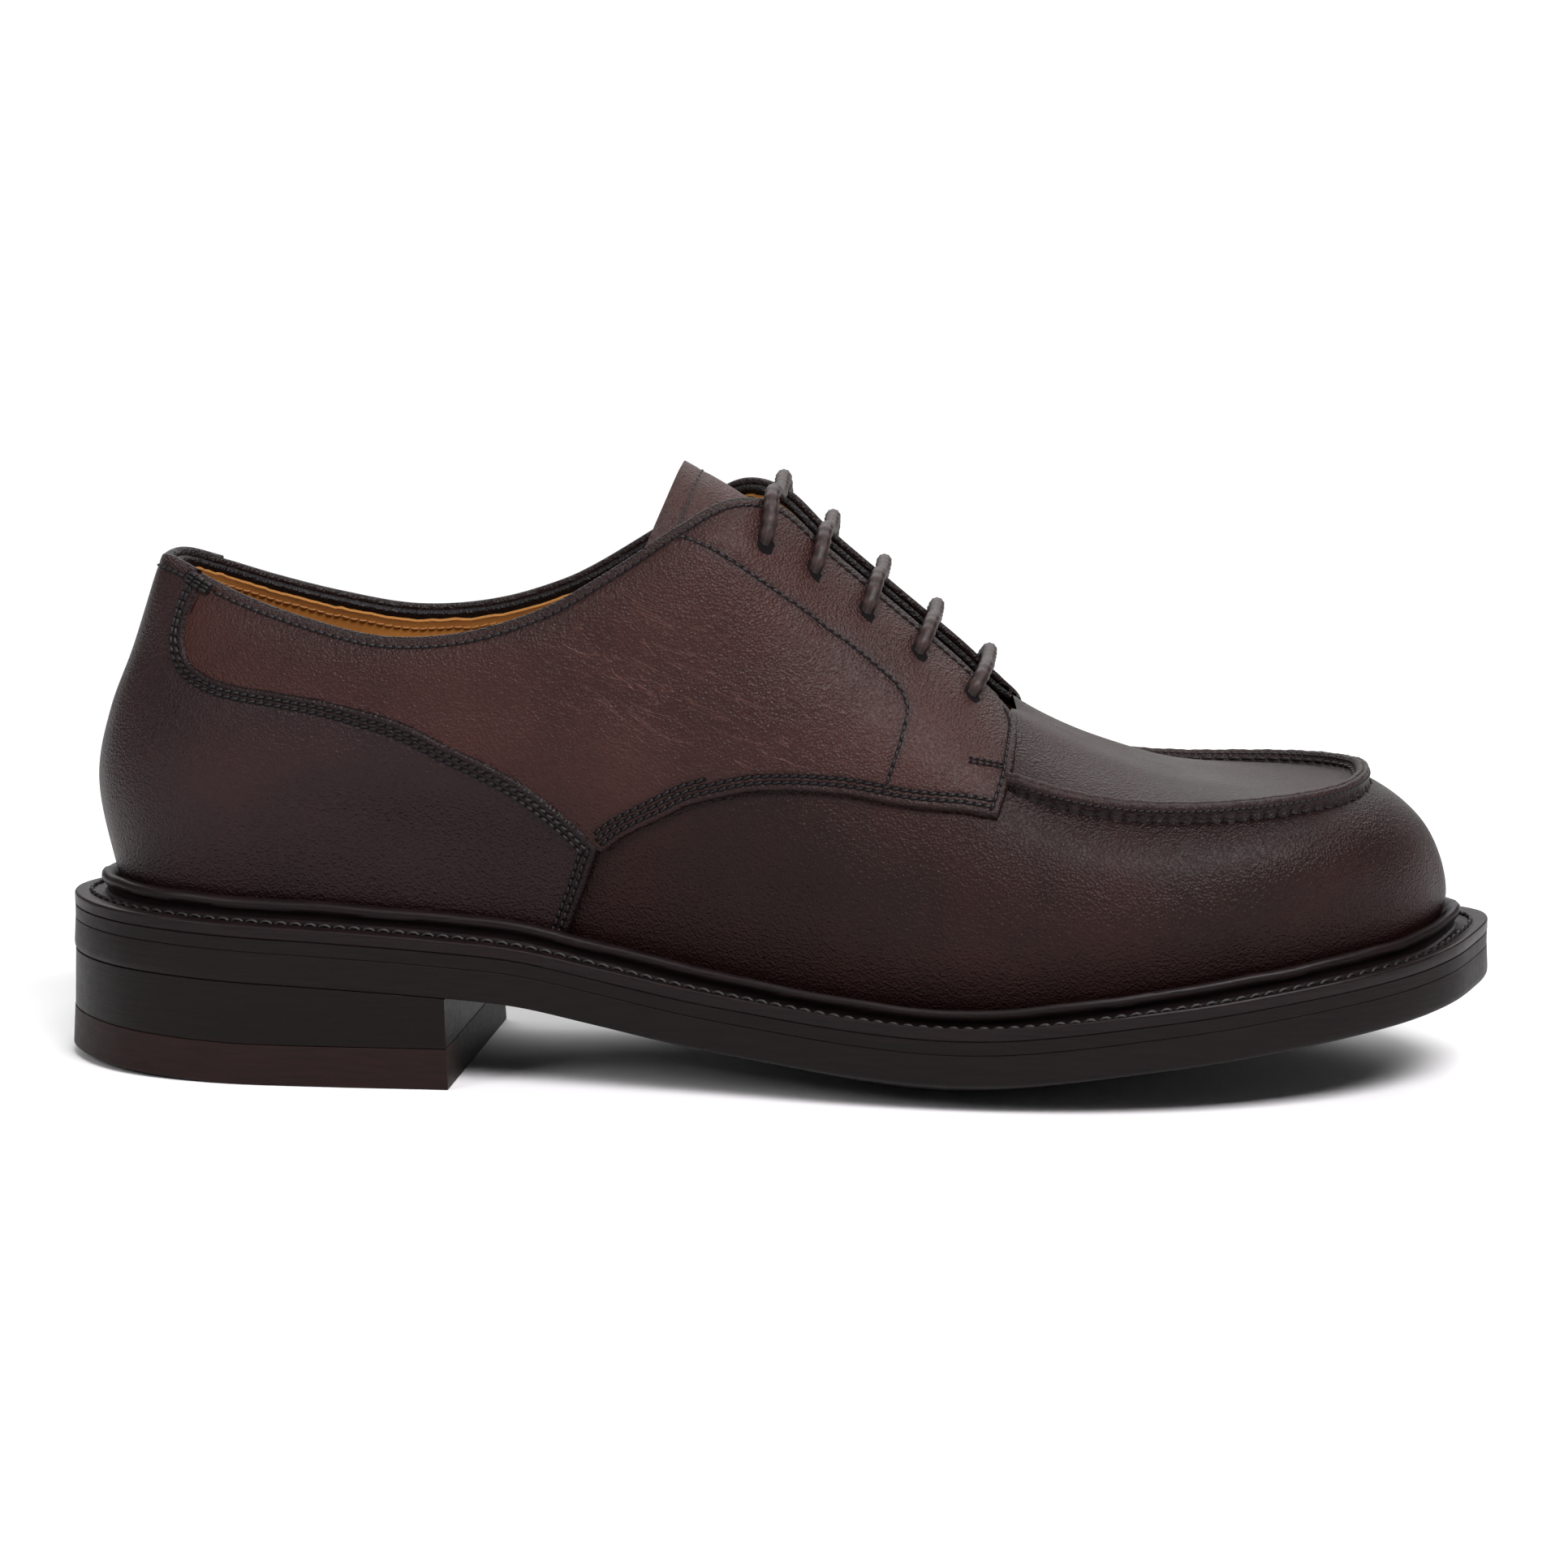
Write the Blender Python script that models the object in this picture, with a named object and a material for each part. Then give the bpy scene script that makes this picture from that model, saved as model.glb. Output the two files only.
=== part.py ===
"""Apron toe derby, the right shoe of a pair, standing empty on its sole.

Lengths are in millimetres until mesh_object turns them into metres.
+X runs from the heel to the toe, +Y is the inner (medial) side of the foot, +Z is up.
Sizes and tables measure x from the back of the heel. The finished pieces have their
origin on the floor at HEEL_REST, the middle of the heel's flat underside.
"""

import math

import bmesh
import bpy
import numpy as np

MM = 0.001

# Driving sizes
HEEL_REST = 62.0
LENGTH = 300.0
WIDTH = 100.0
HEIGHT = 100.0
SOLE_DEPTH = 12.3
WELT_DEPTH = 2.8
MIDSOLE_DEPTH = 2.5
LIFT_DEPTH = 8.4
HEEL_END = 85.5
BREAST_SKEW = 3.2
UPPER_WALL = 1.4
LEATHER = 1.2
COUNTER_LEATHER = 1.7
OVERLAY_LIFT = 0.45
COUNTER_LIFT = 0.65
INSOLE_DEPTH = 3.0
TONGUE_DEPTH = 1.8
SEAM_RISE = 3.3
SEAM_BREADTH = 3.2
LACE_RADIUS = 1.5
GAP = 0.35
SEAM_GAP = 0.8
FOOT_GAP = 0.65
DOME_POWER = 2.4
HEEL_BEVEL = 2.0
HEEL_BEVEL_REACH = 42.0

# Resolution
AROUND = 56
LACE_SIDES = 8

# Outline of the sole seen from above: share of LENGTH, then the lateral and the
# medial edge as shares of WIDTH. Both edges meet at the heel and at the toe.
OUTLINE = [
    (0.000, 0.000, 0.000),
    (0.010, -0.112, 0.108),
    (0.027, -0.186, 0.180),
    (0.050, -0.248, 0.243),
    (0.117, -0.324, 0.318),
    (0.200, -0.344, 0.336),
    (0.283, -0.350, 0.332),
    (0.367, -0.364, 0.320),
    (0.467, -0.406, 0.345),
    (0.567, -0.466, 0.415),
    (0.667, -0.503, 0.500),
    (0.733, -0.511, 0.527),
    (0.800, -0.490, 0.524),
    (0.883, -0.408, 0.468),
    (0.950, -0.264, 0.345),
    (0.973, -0.178, 0.272),
    (0.990, -0.064, 0.182),
    (1.000, 0.065, 0.065),
]

# Height of the welt's flat top at its edge: share of LENGTH, share of HEIGHT.
WELT_TOP = [
    (0.000, 0.350),
    (0.060, 0.346),
    (0.130, 0.337),
    (0.200, 0.328),
    (0.270, 0.315),
    (0.330, 0.299),
    (0.380, 0.270),
    (0.447, 0.232),
    (0.507, 0.208),
    (0.567, 0.189),
    (0.620, 0.180),
    (0.667, 0.184),
    (0.710, 0.198),
    (0.757, 0.217),
    (0.807, 0.236),
    (0.850, 0.254),
    (0.903, 0.275),
    (0.950, 0.294),
    (1.000, 0.323),
]

# How far the middle of the sole lies below its edge, in millimetres.
DOME = [
    (0.000, 0.0),
    (0.300, 0.0),
    (0.380, 0.8),
    (0.480, 3.1),
    (0.560, 5.8),
    (0.600, 6.9),
    (0.640, 7.0),
    (0.700, 6.0),
    (0.800, 3.8),
    (0.900, 2.2),
    (1.000, 1.2),
]

# How far the upper stands in from the sole's edge, in millimetres, by the share
# of the way round from heel to toe.
FEATHER_INSET = [
    (0.00, 12.4),
    (0.45, 12.2),
    (0.60, 11.6),
    (0.66, 10.8),
    (1.00, 10.6),
]

# Sections of the upper, from the heel to the toe, the same for both sides.
# around: share of the way round the sole's outline
# hip_out, hip_up: widest point, millimetres out from and above the lower edge
# full: swell of the wall between hip and shoulder, millimetres
# shoulder and top: share of LENGTH, lateral and medial share of WIDTH, share of HEIGHT
# The shoulder is where the wall turns in, and on the vamp it carries the apron seam.
SECTIONS = [
    # around, hip_out, hip_up, full, shoulder x, lateral, medial, z, top x, lateral, medial, z
    (0.000, 4.4, 24, 1.2, 0.052, 0.000, 0.000, 0.860, 0.074, 0.000, 0.000, 1.055),
    (0.070, 4.4, 24, 1.2, 0.058, -0.070, 0.070, 0.860, 0.078, -0.050, 0.050, 1.057),
    (0.130, 4.4, 24, 1.3, 0.082, -0.150, 0.150, 0.845, 0.099, -0.110, 0.110, 1.033),
    (0.200, 4.4, 24, 1.4, 0.120, -0.220, 0.220, 0.820, 0.134, -0.170, 0.170, 0.992),
    (0.260, 4.4, 23, 1.5, 0.170, -0.265, 0.265, 0.795, 0.179, -0.215, 0.215, 0.952),
    (0.320, 4.4, 22, 1.6, 0.233, -0.293, 0.293, 0.775, 0.237, -0.255, 0.255, 0.920),
    (0.375, 4.2, 20, 1.8, 0.302, -0.313, 0.310, 0.775, 0.298, -0.275, 0.270, 0.936),
    (0.420, 4.2, 20, 2.0, 0.367, -0.325, 0.315, 0.805, 0.358, -0.278, 0.270, 1.001),
    (0.460, 4.2, 19, 2.1, 0.423, -0.330, 0.320, 0.845, 0.405, -0.265, 0.260, 1.084),
    (0.490, 4.2, 19, 2.2, 0.467, -0.330, 0.320, 0.865, 0.442, -0.245, 0.240, 1.157),
    (0.510, 4.2, 19, 2.3, 0.497, -0.328, 0.320, 0.865, 0.473, -0.205, 0.205, 1.204),
    (0.525, 4.4, 18, 2.4, 0.522, -0.325, 0.320, 0.850, 0.500, -0.145, 0.145, 1.190),
    (0.540, 4.4, 18, 2.5, 0.547, -0.320, 0.320, 0.820, 0.530, -0.123, 0.123, 1.110),
    (0.565, 4.4, 18, 2.5, 0.587, -0.320, 0.323, 0.765, 0.577, -0.120, 0.120, 0.992),
    (0.590, 4.4, 18, 2.6, 0.627, -0.326, 0.330, 0.706, 0.622, -0.124, 0.124, 0.880),
    (0.615, 4.4, 17, 2.8, 0.668, -0.336, 0.340, 0.640, 0.664, -0.135, 0.135, 0.768),
    (0.640, 4.4, 17, 3.0, 0.706, -0.340, 0.350, 0.606, 0.703, -0.140, 0.160, 0.702),
    (0.665, 4.4, 17, 3.0, 0.742, -0.337, 0.358, 0.588, 0.737, -0.140, 0.165, 0.666),
    (0.695, 4.2, 16, 3.2, 0.787, -0.327, 0.360, 0.582, 0.777, -0.143, 0.175, 0.633),
    (0.730, 3.8, 15, 3.6, 0.828, -0.305, 0.345, 0.587, 0.812, -0.140, 0.180, 0.619),
    (0.770, 3.0, 13, 4.0, 0.862, -0.262, 0.308, 0.594, 0.838, -0.125, 0.175, 0.613),
    (0.815, 2.4, 11, 4.3, 0.887, -0.202, 0.255, 0.600, 0.857, -0.093, 0.146, 0.610),
    (0.860, 2.0, 9, 4.4, 0.902, -0.130, 0.190, 0.605, 0.868, -0.056, 0.113, 0.609),
    (0.930, 1.7, 8, 4.4, 0.911, -0.045, 0.115, 0.610, 0.875, -0.010, 0.073, 0.609),
    (1.000, 1.7, 8, 4.4, 0.913, 0.036, 0.036, 0.611, 0.877, 0.032, 0.032, 0.609),
]

# Middle of the apron from the throat to its front, one row for each section from
# THROAT on: share of LENGTH, share of WIDTH, share of HEIGHT.
THROAT = 15
CREST = [
    (0.668, 0.010, 0.757),
    (0.703, 0.010, 0.713),
    (0.733, 0.010, 0.676),
    (0.775, 0.015, 0.641),
    (0.803, 0.020, 0.624),
    (0.825, 0.025, 0.615),
    (0.838, 0.028, 0.611),
    (0.847, 0.030, 0.610),
    (0.852, 0.030, 0.609),
    (0.853, 0.031, 0.609),
]

# Height share on a section of the lower edge, hip, swell, shoulder, top and crest.
LEVELS = (0.0, 0.20, 0.40, 0.60, 0.85, 1.0)
TOP_LEVEL = 0.85
SHOULDER_LEVEL = 0.60

# Tongue from its root under the apron to its top edge: share of LENGTH and of
# HEIGHT along the middle, half breadth, drop of the sides, set-back of the sides.
TONGUE = [
    (0.697, 0.697, 15.0, 1.6, 0.0),
    (0.663, 0.730, 19.0, 3.0, 0.0),
    (0.627, 0.835, 21.0, 6.5, 0.0),
    (0.580, 0.955, 22.5, 10.5, 0.0),
    (0.533, 1.072, 23.5, 14.5, 0.5),
    (0.500, 1.150, 24.0, 17.0, 2.5),
    (0.470, 1.212, 24.0, 19.0, 5.0),
    (0.435, 1.273, 24.0, 20.5, 8.0),
]

# Seams on the upper, as section number and height share. Each row also names the
# sections at the foot and at the top line that the rule through it leads to.
COUNTER_EDGE = [
    # section, level, foot, top
    (2.08, 0.850, 1.20, 2.30),
    (2.24, 0.844, 1.35, 2.40),
    (2.23, 0.800, 1.50, 2.52),
    (2.17, 0.750, 1.70, 2.65),
    (2.23, 0.676, 1.95, 2.90),
    (2.46, 0.635, 2.20, 3.20),
    (2.90, 0.616, 2.60, 3.60),
    (3.91, 0.624, 3.60, 4.30),
    (4.39, 0.626, 4.10, 4.70),
    (4.99, 0.605, 4.70, 5.20),
    (5.78, 0.507, 5.50, 5.90),
    (6.41, 0.413, 6.05, 6.50),
    (6.81, 0.331, 6.40, 6.95),
    (7.15, 0.250, 6.72, 7.35),
]
VAMP_SEAM = [
    # section, level, top
    (7.22, 0.245, 7.50),
    (7.42, 0.285, 7.80),
    (7.82, 0.335, 8.20),
    (8.31, 0.373, 8.70),
    (8.84, 0.393, 9.30),
    (10.34, 0.418, 10.60),
    (12.15, 0.442, 12.20),
    (13.31, 0.460, 13.30),
    (14.72, 0.505, 14.98),
]
FOOT_LEVEL = 0.012
LACE_SECTIONS = (10.62, 11.80, 12.67, 13.48, 14.32)
LACE_LEVEL = 0.78
SECTION_STEP = 9.0
LEVEL_STEP = 90.0


def slopes(knots, values):
    """Three-point slopes of the rows of values at the knots."""
    step = np.diff(knots)[:, None]
    rate = np.diff(values, axis=0) / step
    inner = (rate[:-1] * step[1:] + rate[1:] * step[:-1]) / (step[:-1] + step[1:])
    return np.vstack([rate[:1], inner, rate[-1:]])


def curve(knots, values, at):
    """Smooth curve through rows of values, read at the places in at."""
    knots = np.asarray(knots, float)
    values = np.asarray(values, float)
    if values.ndim == 1:
        return curve(knots, values[:, None], at)[..., 0]
    at = np.clip(np.asarray(at, float), knots[0], knots[-1])
    slope = slopes(knots, values)
    row = np.clip(np.searchsorted(knots, at, side="right") - 1, 0, len(knots) - 2)
    step = (knots[row + 1] - knots[row])[..., None]
    t = (at - knots[row])[..., None] / step
    start, end = values[row], values[row + 1]
    rise = (3 - 2 * t) * t * t
    lean = slope[row] * (t * (1 - t) ** 2) - slope[row + 1] * (t * t * (1 - t))
    return start * (1 - rise) + end * rise + lean * step


def closed_curve(knots, values, period, at):
    """The same through a closed loop of rows, whose first row comes again after period."""
    knots = np.asarray(knots, float)
    values = np.asarray(values, float)
    wide_knots = np.concatenate([knots[-3:] - period, knots, knots[:3] + period])
    wide_values = np.concatenate([values[-3:], values, values[:3]])
    return curve(wide_knots, wide_values, np.mod(at, period))


def table(rows, at, column=1):
    """Reads one column of a table at the first column's value."""
    data = np.array(rows, float)
    return curve(data[:, 0], data[:, column], at)


def outline_loop():
    """Angles and edge offsets of the outline: lateral side out, medial side back."""
    data = np.array(OUTLINE)
    angle = np.arccos(1 - 2 * data[:, 0])
    angles = np.concatenate([angle, 2 * math.pi - angle[-2:0:-1]])
    offsets = np.concatenate([data[:, 1], data[-2:0:-1, 2]]) * WIDTH
    return angles, offsets


def outline(angle, inset=0.0):
    """Points of the sole's outline moved in by inset. Angle 0 is the heel, pi the toe."""
    angles, offsets = outline_loop()
    angle = np.asarray(angle, float)

    def place(a):
        y = closed_curve(angles, offsets[:, None], 2 * math.pi, a)[..., 0]
        return np.stack([LENGTH * (1 - np.cos(a)) / 2, y], axis=-1)

    small = 0.01
    along = place(angle + small) - place(angle - small)
    along /= np.linalg.norm(along, axis=-1, keepdims=True)
    inward = np.stack([-along[..., 1], along[..., 0]], axis=-1)
    return place(angle) + inward * np.asarray(inset, float)[..., None]


def spine(points):
    """The nearest place on the line down the middle of the sole."""
    angles, offsets = outline_loop()
    x = np.clip(points[..., 0], 0.09 * LENGTH, 0.885 * LENGTH)
    angle = np.arccos(1 - 2 * x / LENGTH)
    lateral = closed_curve(angles, offsets[:, None], 2 * math.pi, angle)[..., 0]
    medial = closed_curve(angles, offsets[:, None], 2 * math.pi, 2 * math.pi - angle)[..., 0]
    return np.stack([x, (lateral + medial) / 2], axis=-1)


def sole_height(points, share):
    """Height of the welt's top, where share is 1 at the edge and 0 on the spine."""
    x = np.clip(points[..., 0] / LENGTH, 0, 1)
    edge = table(WELT_TOP, x) * HEIGHT
    return edge - table(DOME, x) * (1 - np.clip(share, 0, 1) ** DOME_POWER)


def ring(angles, inset, rise):
    """A ring of points round the sole, inset from its edge and rise above the welt's top."""
    flat = outline(angles, np.full(len(angles), inset))
    middle = spine(outline(angles))
    reach = np.linalg.norm(outline(angles) - middle, axis=1)
    share = np.linalg.norm(flat - middle, axis=1) / reach
    return np.column_stack([flat, sole_height(flat, share) + rise])


def inner_ring(angles, inset, share, rise):
    """A ring that share of the way from the spine to the ring at inset."""
    middle = spine(outline(angles))
    flat = middle + (outline(angles, np.full(len(angles), inset)) - middle) * share
    reach = np.linalg.norm(outline(angles) - middle, axis=1)
    part = np.linalg.norm(flat - middle, axis=1) / reach
    return np.column_stack([flat, sole_height(flat, part) + rise])


def mesh_object(name, points, faces, material, smooth_angle=40.0):
    """A closed named mesh from points in millimetres, with outward faces."""
    bm = bmesh.new()
    moved = (np.asarray(points, float) - (HEEL_REST, 0.0, 0.0)) * MM
    corners = [bm.verts.new(place) for place in moved.tolist()]
    for face in faces:
        loop = [corners[i] for n, i in enumerate(face) if i != face[n - 1]]
        if len(set(loop)) > 2:
            bm.faces.new(loop)
    bmesh.ops.remove_doubles(bm, verts=bm.verts, dist=0.00002)
    bmesh.ops.delete(bm, geom=[v for v in bm.verts if not v.link_faces], context="VERTS")
    bmesh.ops.triangulate(bm, faces=bm.faces)
    bmesh.ops.dissolve_degenerate(bm, edges=bm.edges, dist=0.000005)
    bmesh.ops.recalc_face_normals(bm, faces=bm.faces)
    mesh = bpy.data.meshes.new(name)
    bm.to_mesh(mesh)
    bm.free()
    mesh.shade_smooth()
    mesh.set_sharp_from_angle(angle=math.radians(smooth_angle))
    mesh.materials.append(material)
    piece = bpy.data.objects.new(name, mesh)
    bpy.context.scene.collection.objects.link(piece)
    return piece


def loft(rings):
    """Points and faces of a body whose first and last rings are closed on themselves."""
    count = len(rings[0])
    points = np.concatenate(rings)
    faces = []
    for row in range(len(rings) - 1):
        for i in range(count):
            j = (i + 1) % count
            low, high = row * count, (row + 1) * count
            faces.append((low + i, low + j, high + j, high + i))
    return points, faces


def surface_normals(points, faces):
    """Average face direction at each point of an open sheet."""
    normals = np.zeros_like(points)
    for face in faces:
        corner = points[list(face)]
        across = np.cross(corner[2] - corner[0], corner[-1] - corner[1])
        for i in face:
            normals[i] += across
    size = np.linalg.norm(normals, axis=1, keepdims=True)
    return normals / np.where(size > 0, size, 1)


def thick_sheet(points, faces, low, high):
    """Closes a sheet into a wall from low to high along its normals."""
    normals = surface_normals(points, faces)
    count = len(points)
    walls = np.concatenate([points + normals * high, points + normals * low])
    closed = [tuple(face) for face in faces]
    closed += [tuple(count + i for i in reversed(face)) for face in faces]
    edges = {}
    for face in faces:
        for n, i in enumerate(face):
            j = face[(n + 1) % len(face)]
            if i != j:
                edges[(i, j)] = True
    for i, j in edges:
        if (j, i) not in edges:
            closed.append((j, i, count + i, count + j))
    return walls, closed


def section_lines(side):
    """Control lines of the upper on one side: arrays of one point for each section."""
    data = np.array(SECTIONS, float)
    angle = data[:, 0] * math.pi
    if side > 0:
        angle = 2 * math.pi - angle
    inset = table(FEATHER_INSET, data[:, 0])
    low = outline(angle, inset)
    out = low - outline(angle, inset + 1.0)
    middle = spine(outline(angle))
    share = np.linalg.norm(low - middle, axis=1) / np.linalg.norm(outline(angle) - middle, axis=1)
    base = np.column_stack([low, sole_height(low, share) + FOOT_GAP])
    hip = base + np.column_stack([out * data[:, 1:2], data[:, 2]])
    column = 5 if side < 0 else 6
    shoulder = np.column_stack([data[:, 4] * LENGTH, data[:, column] * WIDTH, data[:, 7] * HEIGHT])
    top = np.column_stack([data[:, 8] * LENGTH, data[:, column + 4] * WIDTH, data[:, 11] * HEIGHT])
    chord = shoulder - hip
    outward = np.column_stack([out, np.zeros(len(out))])
    swell = outward - chord * (np.sum(outward * chord, axis=1) / np.sum(chord ** 2, axis=1))[:, None]
    swell /= np.linalg.norm(swell, axis=1, keepdims=True)
    full = (hip + shoulder) / 2 + swell * data[:, 3:4]
    return base, hip, full, shoulder, top


def crest_line():
    data = np.array(CREST, float)
    return data * np.array([LENGTH, WIDTH, HEIGHT])


def along_line(points, section, closed_with=None):
    """Place on a control line at a section number, spaced by the line's own length."""
    if closed_with is not None:
        whole = np.concatenate([closed_with[3:0:-1], points, closed_with[-2:-5:-1]])
        first = 3
    else:
        whole = points
        first = 0
    gaps = np.maximum(np.linalg.norm(np.diff(whole, axis=0), axis=1), 0.05)
    length = np.concatenate([[0.0], np.cumsum(gaps)])
    here = np.interp(section, np.arange(len(points)), length[first:first + len(points)])
    return curve(length, whole, here)


class Upper:
    """The outside of the upper as a function of side, section number and height share."""

    def __init__(self):
        self.lines = {side: section_lines(side) for side in (-1, 1)}
        self.crest = crest_line()

    def controls(self, side, section):
        lines = self.lines[side]
        other = self.lines[-side]
        rows = [along_line(line, section, twin) for line, twin in zip(lines, other)]
        if section >= THROAT - 0.001:
            rows.append(along_line(self.crest, section - THROAT))
        return np.array(rows)

    def rib(self, side, section, levels):
        """Points up one section at the given height shares."""
        rows = self.controls(side, section)
        levels = np.asarray(levels, float)
        under_facing = section <= THROAT
        places = self.read_rib(rows, rows[4:], levels)
        if under_facing:
            twin = self.controls(-side, section)
            arch = self.read_rib(rows[:5], twin[4:2:-1], levels)
            places = np.where((levels <= TOP_LEVEL)[:, None], arch, places)
        return places

    def read_rib(self, rows, beyond, levels):
        """Smooth curve through the rows of a section, carried on beyond the last one."""
        count = len(rows)
        whole = rows if count == len(LEVELS) else np.concatenate([rows, beyond])
        gaps = np.linalg.norm(np.diff(whole, axis=0), axis=1) ** 0.6
        gaps = np.maximum(gaps, 0.01)
        length = np.concatenate([[0.0], np.cumsum(gaps)])
        here = np.interp(levels, LEVELS[:count], length[:count])
        return curve(length, whole, here)

    def point(self, side, section, level):
        return self.rib(side, section, np.array([level]))[0]

    def normal(self, side, section, level):
        """Outward direction of the surface."""
        low, high = max(level - 0.01, 0.0), level + 0.01
        if section < THROAT:
            high = min(high, TOP_LEVEL)
        near = max(section - 0.05, 0.0)
        far = min(section + 0.05, len(SECTIONS) - 1.0)
        if near < THROAT <= far and level > TOP_LEVEL:
            near = THROAT
        up = self.point(side, section, high) - self.point(side, section, low)
        along = self.point(side, far, level) - self.point(side, near, level)
        across = np.cross(up, along) * side
        return across / np.linalg.norm(across)

    def above(self, side, section, level, rise):
        """Place that rise above the surface."""
        return self.point(side, section, level) + self.normal(side, section, level) * rise


def upper_sheet(upper):
    """Outer skin of the upper: ribs from the lower edge to the top line or the crest."""
    last = len(SECTIONS) - 1
    sections = sorted(set(list(range(last + 1)) + [0.5, 1.5, 2.5, 3.5, 14.5, 15.4, 20.5, 21.5, 22.5, 23.5]))
    wall_levels = (0.0, 0.10, 0.20, 0.30, 0.40, 0.50, 0.60, 0.68, 0.76, TOP_LEVEL)
    crest_levels = (0.93, 1.0)
    order = [(-1, s) for s in sections] + [(1, s) for s in reversed(sections[1:-1])]
    points = []
    index = {}

    def add(key, place):
        if key not in index:
            index[key] = len(points)
            points.append(place)
        return index[key]

    for side, section in order:
        levels = wall_levels + (crest_levels if section >= THROAT else ())
        for level, place in zip(levels, upper.rib(side, section, np.array(levels))):
            twin = 0 if level == 1.0 else side
            add((twin, section, level), place)
    faces = []
    for n, (side, section) in enumerate(order):
        next_side, next_section = order[(n + 1) % len(order)]
        levels = wall_levels
        if min(section, next_section) >= THROAT:
            levels = wall_levels + crest_levels
        for low, high in zip(levels[:-1], levels[1:]):
            twin = (0, 0) if high == 1.0 else (side, next_side)
            face = (
                index[(side, section, low)],
                index[(next_side, next_section, low)],
                index[(twin[1], next_section, high)],
                index[(twin[0], section, high)],
            )
            faces.append(face)
    return np.array(points), faces


def ruled_points(upper, side, rules, columns, rows):
    """Points on the upper between the ends of rules, spaced evenly along their seam.

    A rule is the section and level of its lower end, then those of its upper end, and
    its last two columns are the place on the seam that sets the spacing.
    """
    rules = np.array(rules, float)
    scaled = rules[:, 4:] * np.array([SECTION_STEP, LEVEL_STEP])
    gaps = np.linalg.norm(np.diff(scaled, axis=0), axis=1)
    length = np.concatenate([[0.0], np.cumsum(gaps)])
    points = []
    for rule in curve(length, rules, np.linspace(0, length[-1], columns + 1)):
        for row in range(rows + 1):
            share = row / rows
            section, level = rule[:2] * (1 - share) + rule[2:4] * share
            points.append(upper.point(side, section, min(level, TOP_LEVEL)))
    return points


def sheet_faces(columns, rows, side):
    faces = []
    for column in range(columns):
        for row in range(rows):
            a = column * (rows + 1) + row
            b = a + rows + 1
            faces.append((a, b, b + 1, a + 1) if side < 0 else (b, a, a + 1, b + 1))
    return faces


def beside(edge, distance):
    """A seam line moved sideways by about distance millimetres, to its left."""
    scaled = np.array(edge, float) * np.array([SECTION_STEP, LEVEL_STEP])
    ahead = np.gradient(scaled, axis=0)
    ahead /= np.linalg.norm(ahead, axis=1, keepdims=True)
    moved = scaled + np.column_stack([-ahead[:, 1], ahead[:, 0]]) * distance
    return moved / np.array([SECTION_STEP, LEVEL_STEP])


def plain_material(name, colour, roughness):
    """Principled material from a linear colour."""
    material = bpy.data.materials.new(name)
    material.use_nodes = True
    shader = material.node_tree.nodes["Principled BSDF"]
    shader.inputs["Base Color"].default_value = (*colour, 1.0)
    shader.inputs["Roughness"].default_value = roughness
    material.diffuse_color = (*colour, 1.0)
    return material


def even_angles():
    return np.arange(AROUND) * 2 * math.pi / AROUND


def build_welt():
    """Storm welt: a flat edge for the stitches, a channel, and a lip up against the upper."""
    angles = even_angles()
    top = [
        (0.0, -0.4), (0.4, 0.0), (5.6, 0.0), (7.3, 0.5), (7.3, 1.8),
        (6.1, 2.2), (6.0, 3.8), (6.6, 4.4), (7.8, 4.4), (8.3, 3.8), (8.3, 0.0), (15.0, 0.0),
    ]
    rings = [inner_ring(angles, 0.3, share, -WELT_DEPTH) for share in (0.0, 0.5)]
    rings.append(ring(angles, 0.3, -WELT_DEPTH))
    rings.append(ring(angles, 0.0, 0.4 - WELT_DEPTH))
    rings += [ring(angles, inset, rise) for inset, rise in top]
    rings += [inner_ring(angles, 15.0, share, 0.0) for share in (0.5, 0.0)]
    points, faces = loft(rings)
    return mesh_object("welt", points, faces, plain_material("welt leather", (0.012, 0.009, 0.008), 0.5))


def build_midsole():
    angles = even_angles()
    top = -WELT_DEPTH - GAP
    base = top - MIDSOLE_DEPTH
    rings = [inner_ring(angles, 0.6, share, base) for share in (0.0, 0.5)]
    rings += [ring(angles, 0.6, base), ring(angles, 0.5, top)]
    rings += [inner_ring(angles, 0.5, share, top) for share in (0.5, 0.0)]
    points, faces = loft(rings)
    return mesh_object("midsole", points, faces, plain_material("midsole leather", (0.010, 0.007, 0.006), 0.55))


def build_outsole():
    """Rubber outsole, thicker below its middle, flat where the forefoot rests."""
    angles = even_angles()
    top = -WELT_DEPTH - MIDSOLE_DEPTH - 2 * GAP
    rings = [inner_ring(angles, 0.2, share, top) for share in (0.0, 0.5)]
    rings += [ring(angles, 0.2, top), ring(angles, 0.0, top - 0.4)]
    rings += [ring(angles, -0.3, 0.7 - SOLE_DEPTH), ring(angles, 0.4, -SOLE_DEPTH)]
    rings += [inner_ring(angles, 0.4, share, -SOLE_DEPTH) for share in (0.8, 0.6, 0.4, 0.2, 0.0)]
    points, faces = loft(rings)
    points[:, 2] = np.maximum(points[:, 2], 0.0)
    return mesh_object("outsole", points, faces, plain_material("sole rubber", (0.012, 0.009, 0.008), 0.6))


def heel_floor(x):
    """Height of the heel's underside, bevelled up towards its back."""
    return HEEL_BEVEL * np.clip((HEEL_BEVEL_REACH - x) / HEEL_BEVEL_REACH, 0, 1) ** 1.3


def heel_edges(inset):
    """Lateral and medial edge of the heel at the same steps, back to breast."""
    last = math.acos(1 - 2 * HEEL_END / LENGTH)
    steps = last * np.linspace(0, 1, 15)
    lateral = outline(steps, np.full(15, inset))
    medial = outline(2 * math.pi - steps, np.full(15, inset))
    medial[-1, 0] += BREAST_SKEW / 2
    lateral[-1, 0] -= BREAST_SKEW / 2
    return lateral, medial


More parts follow.
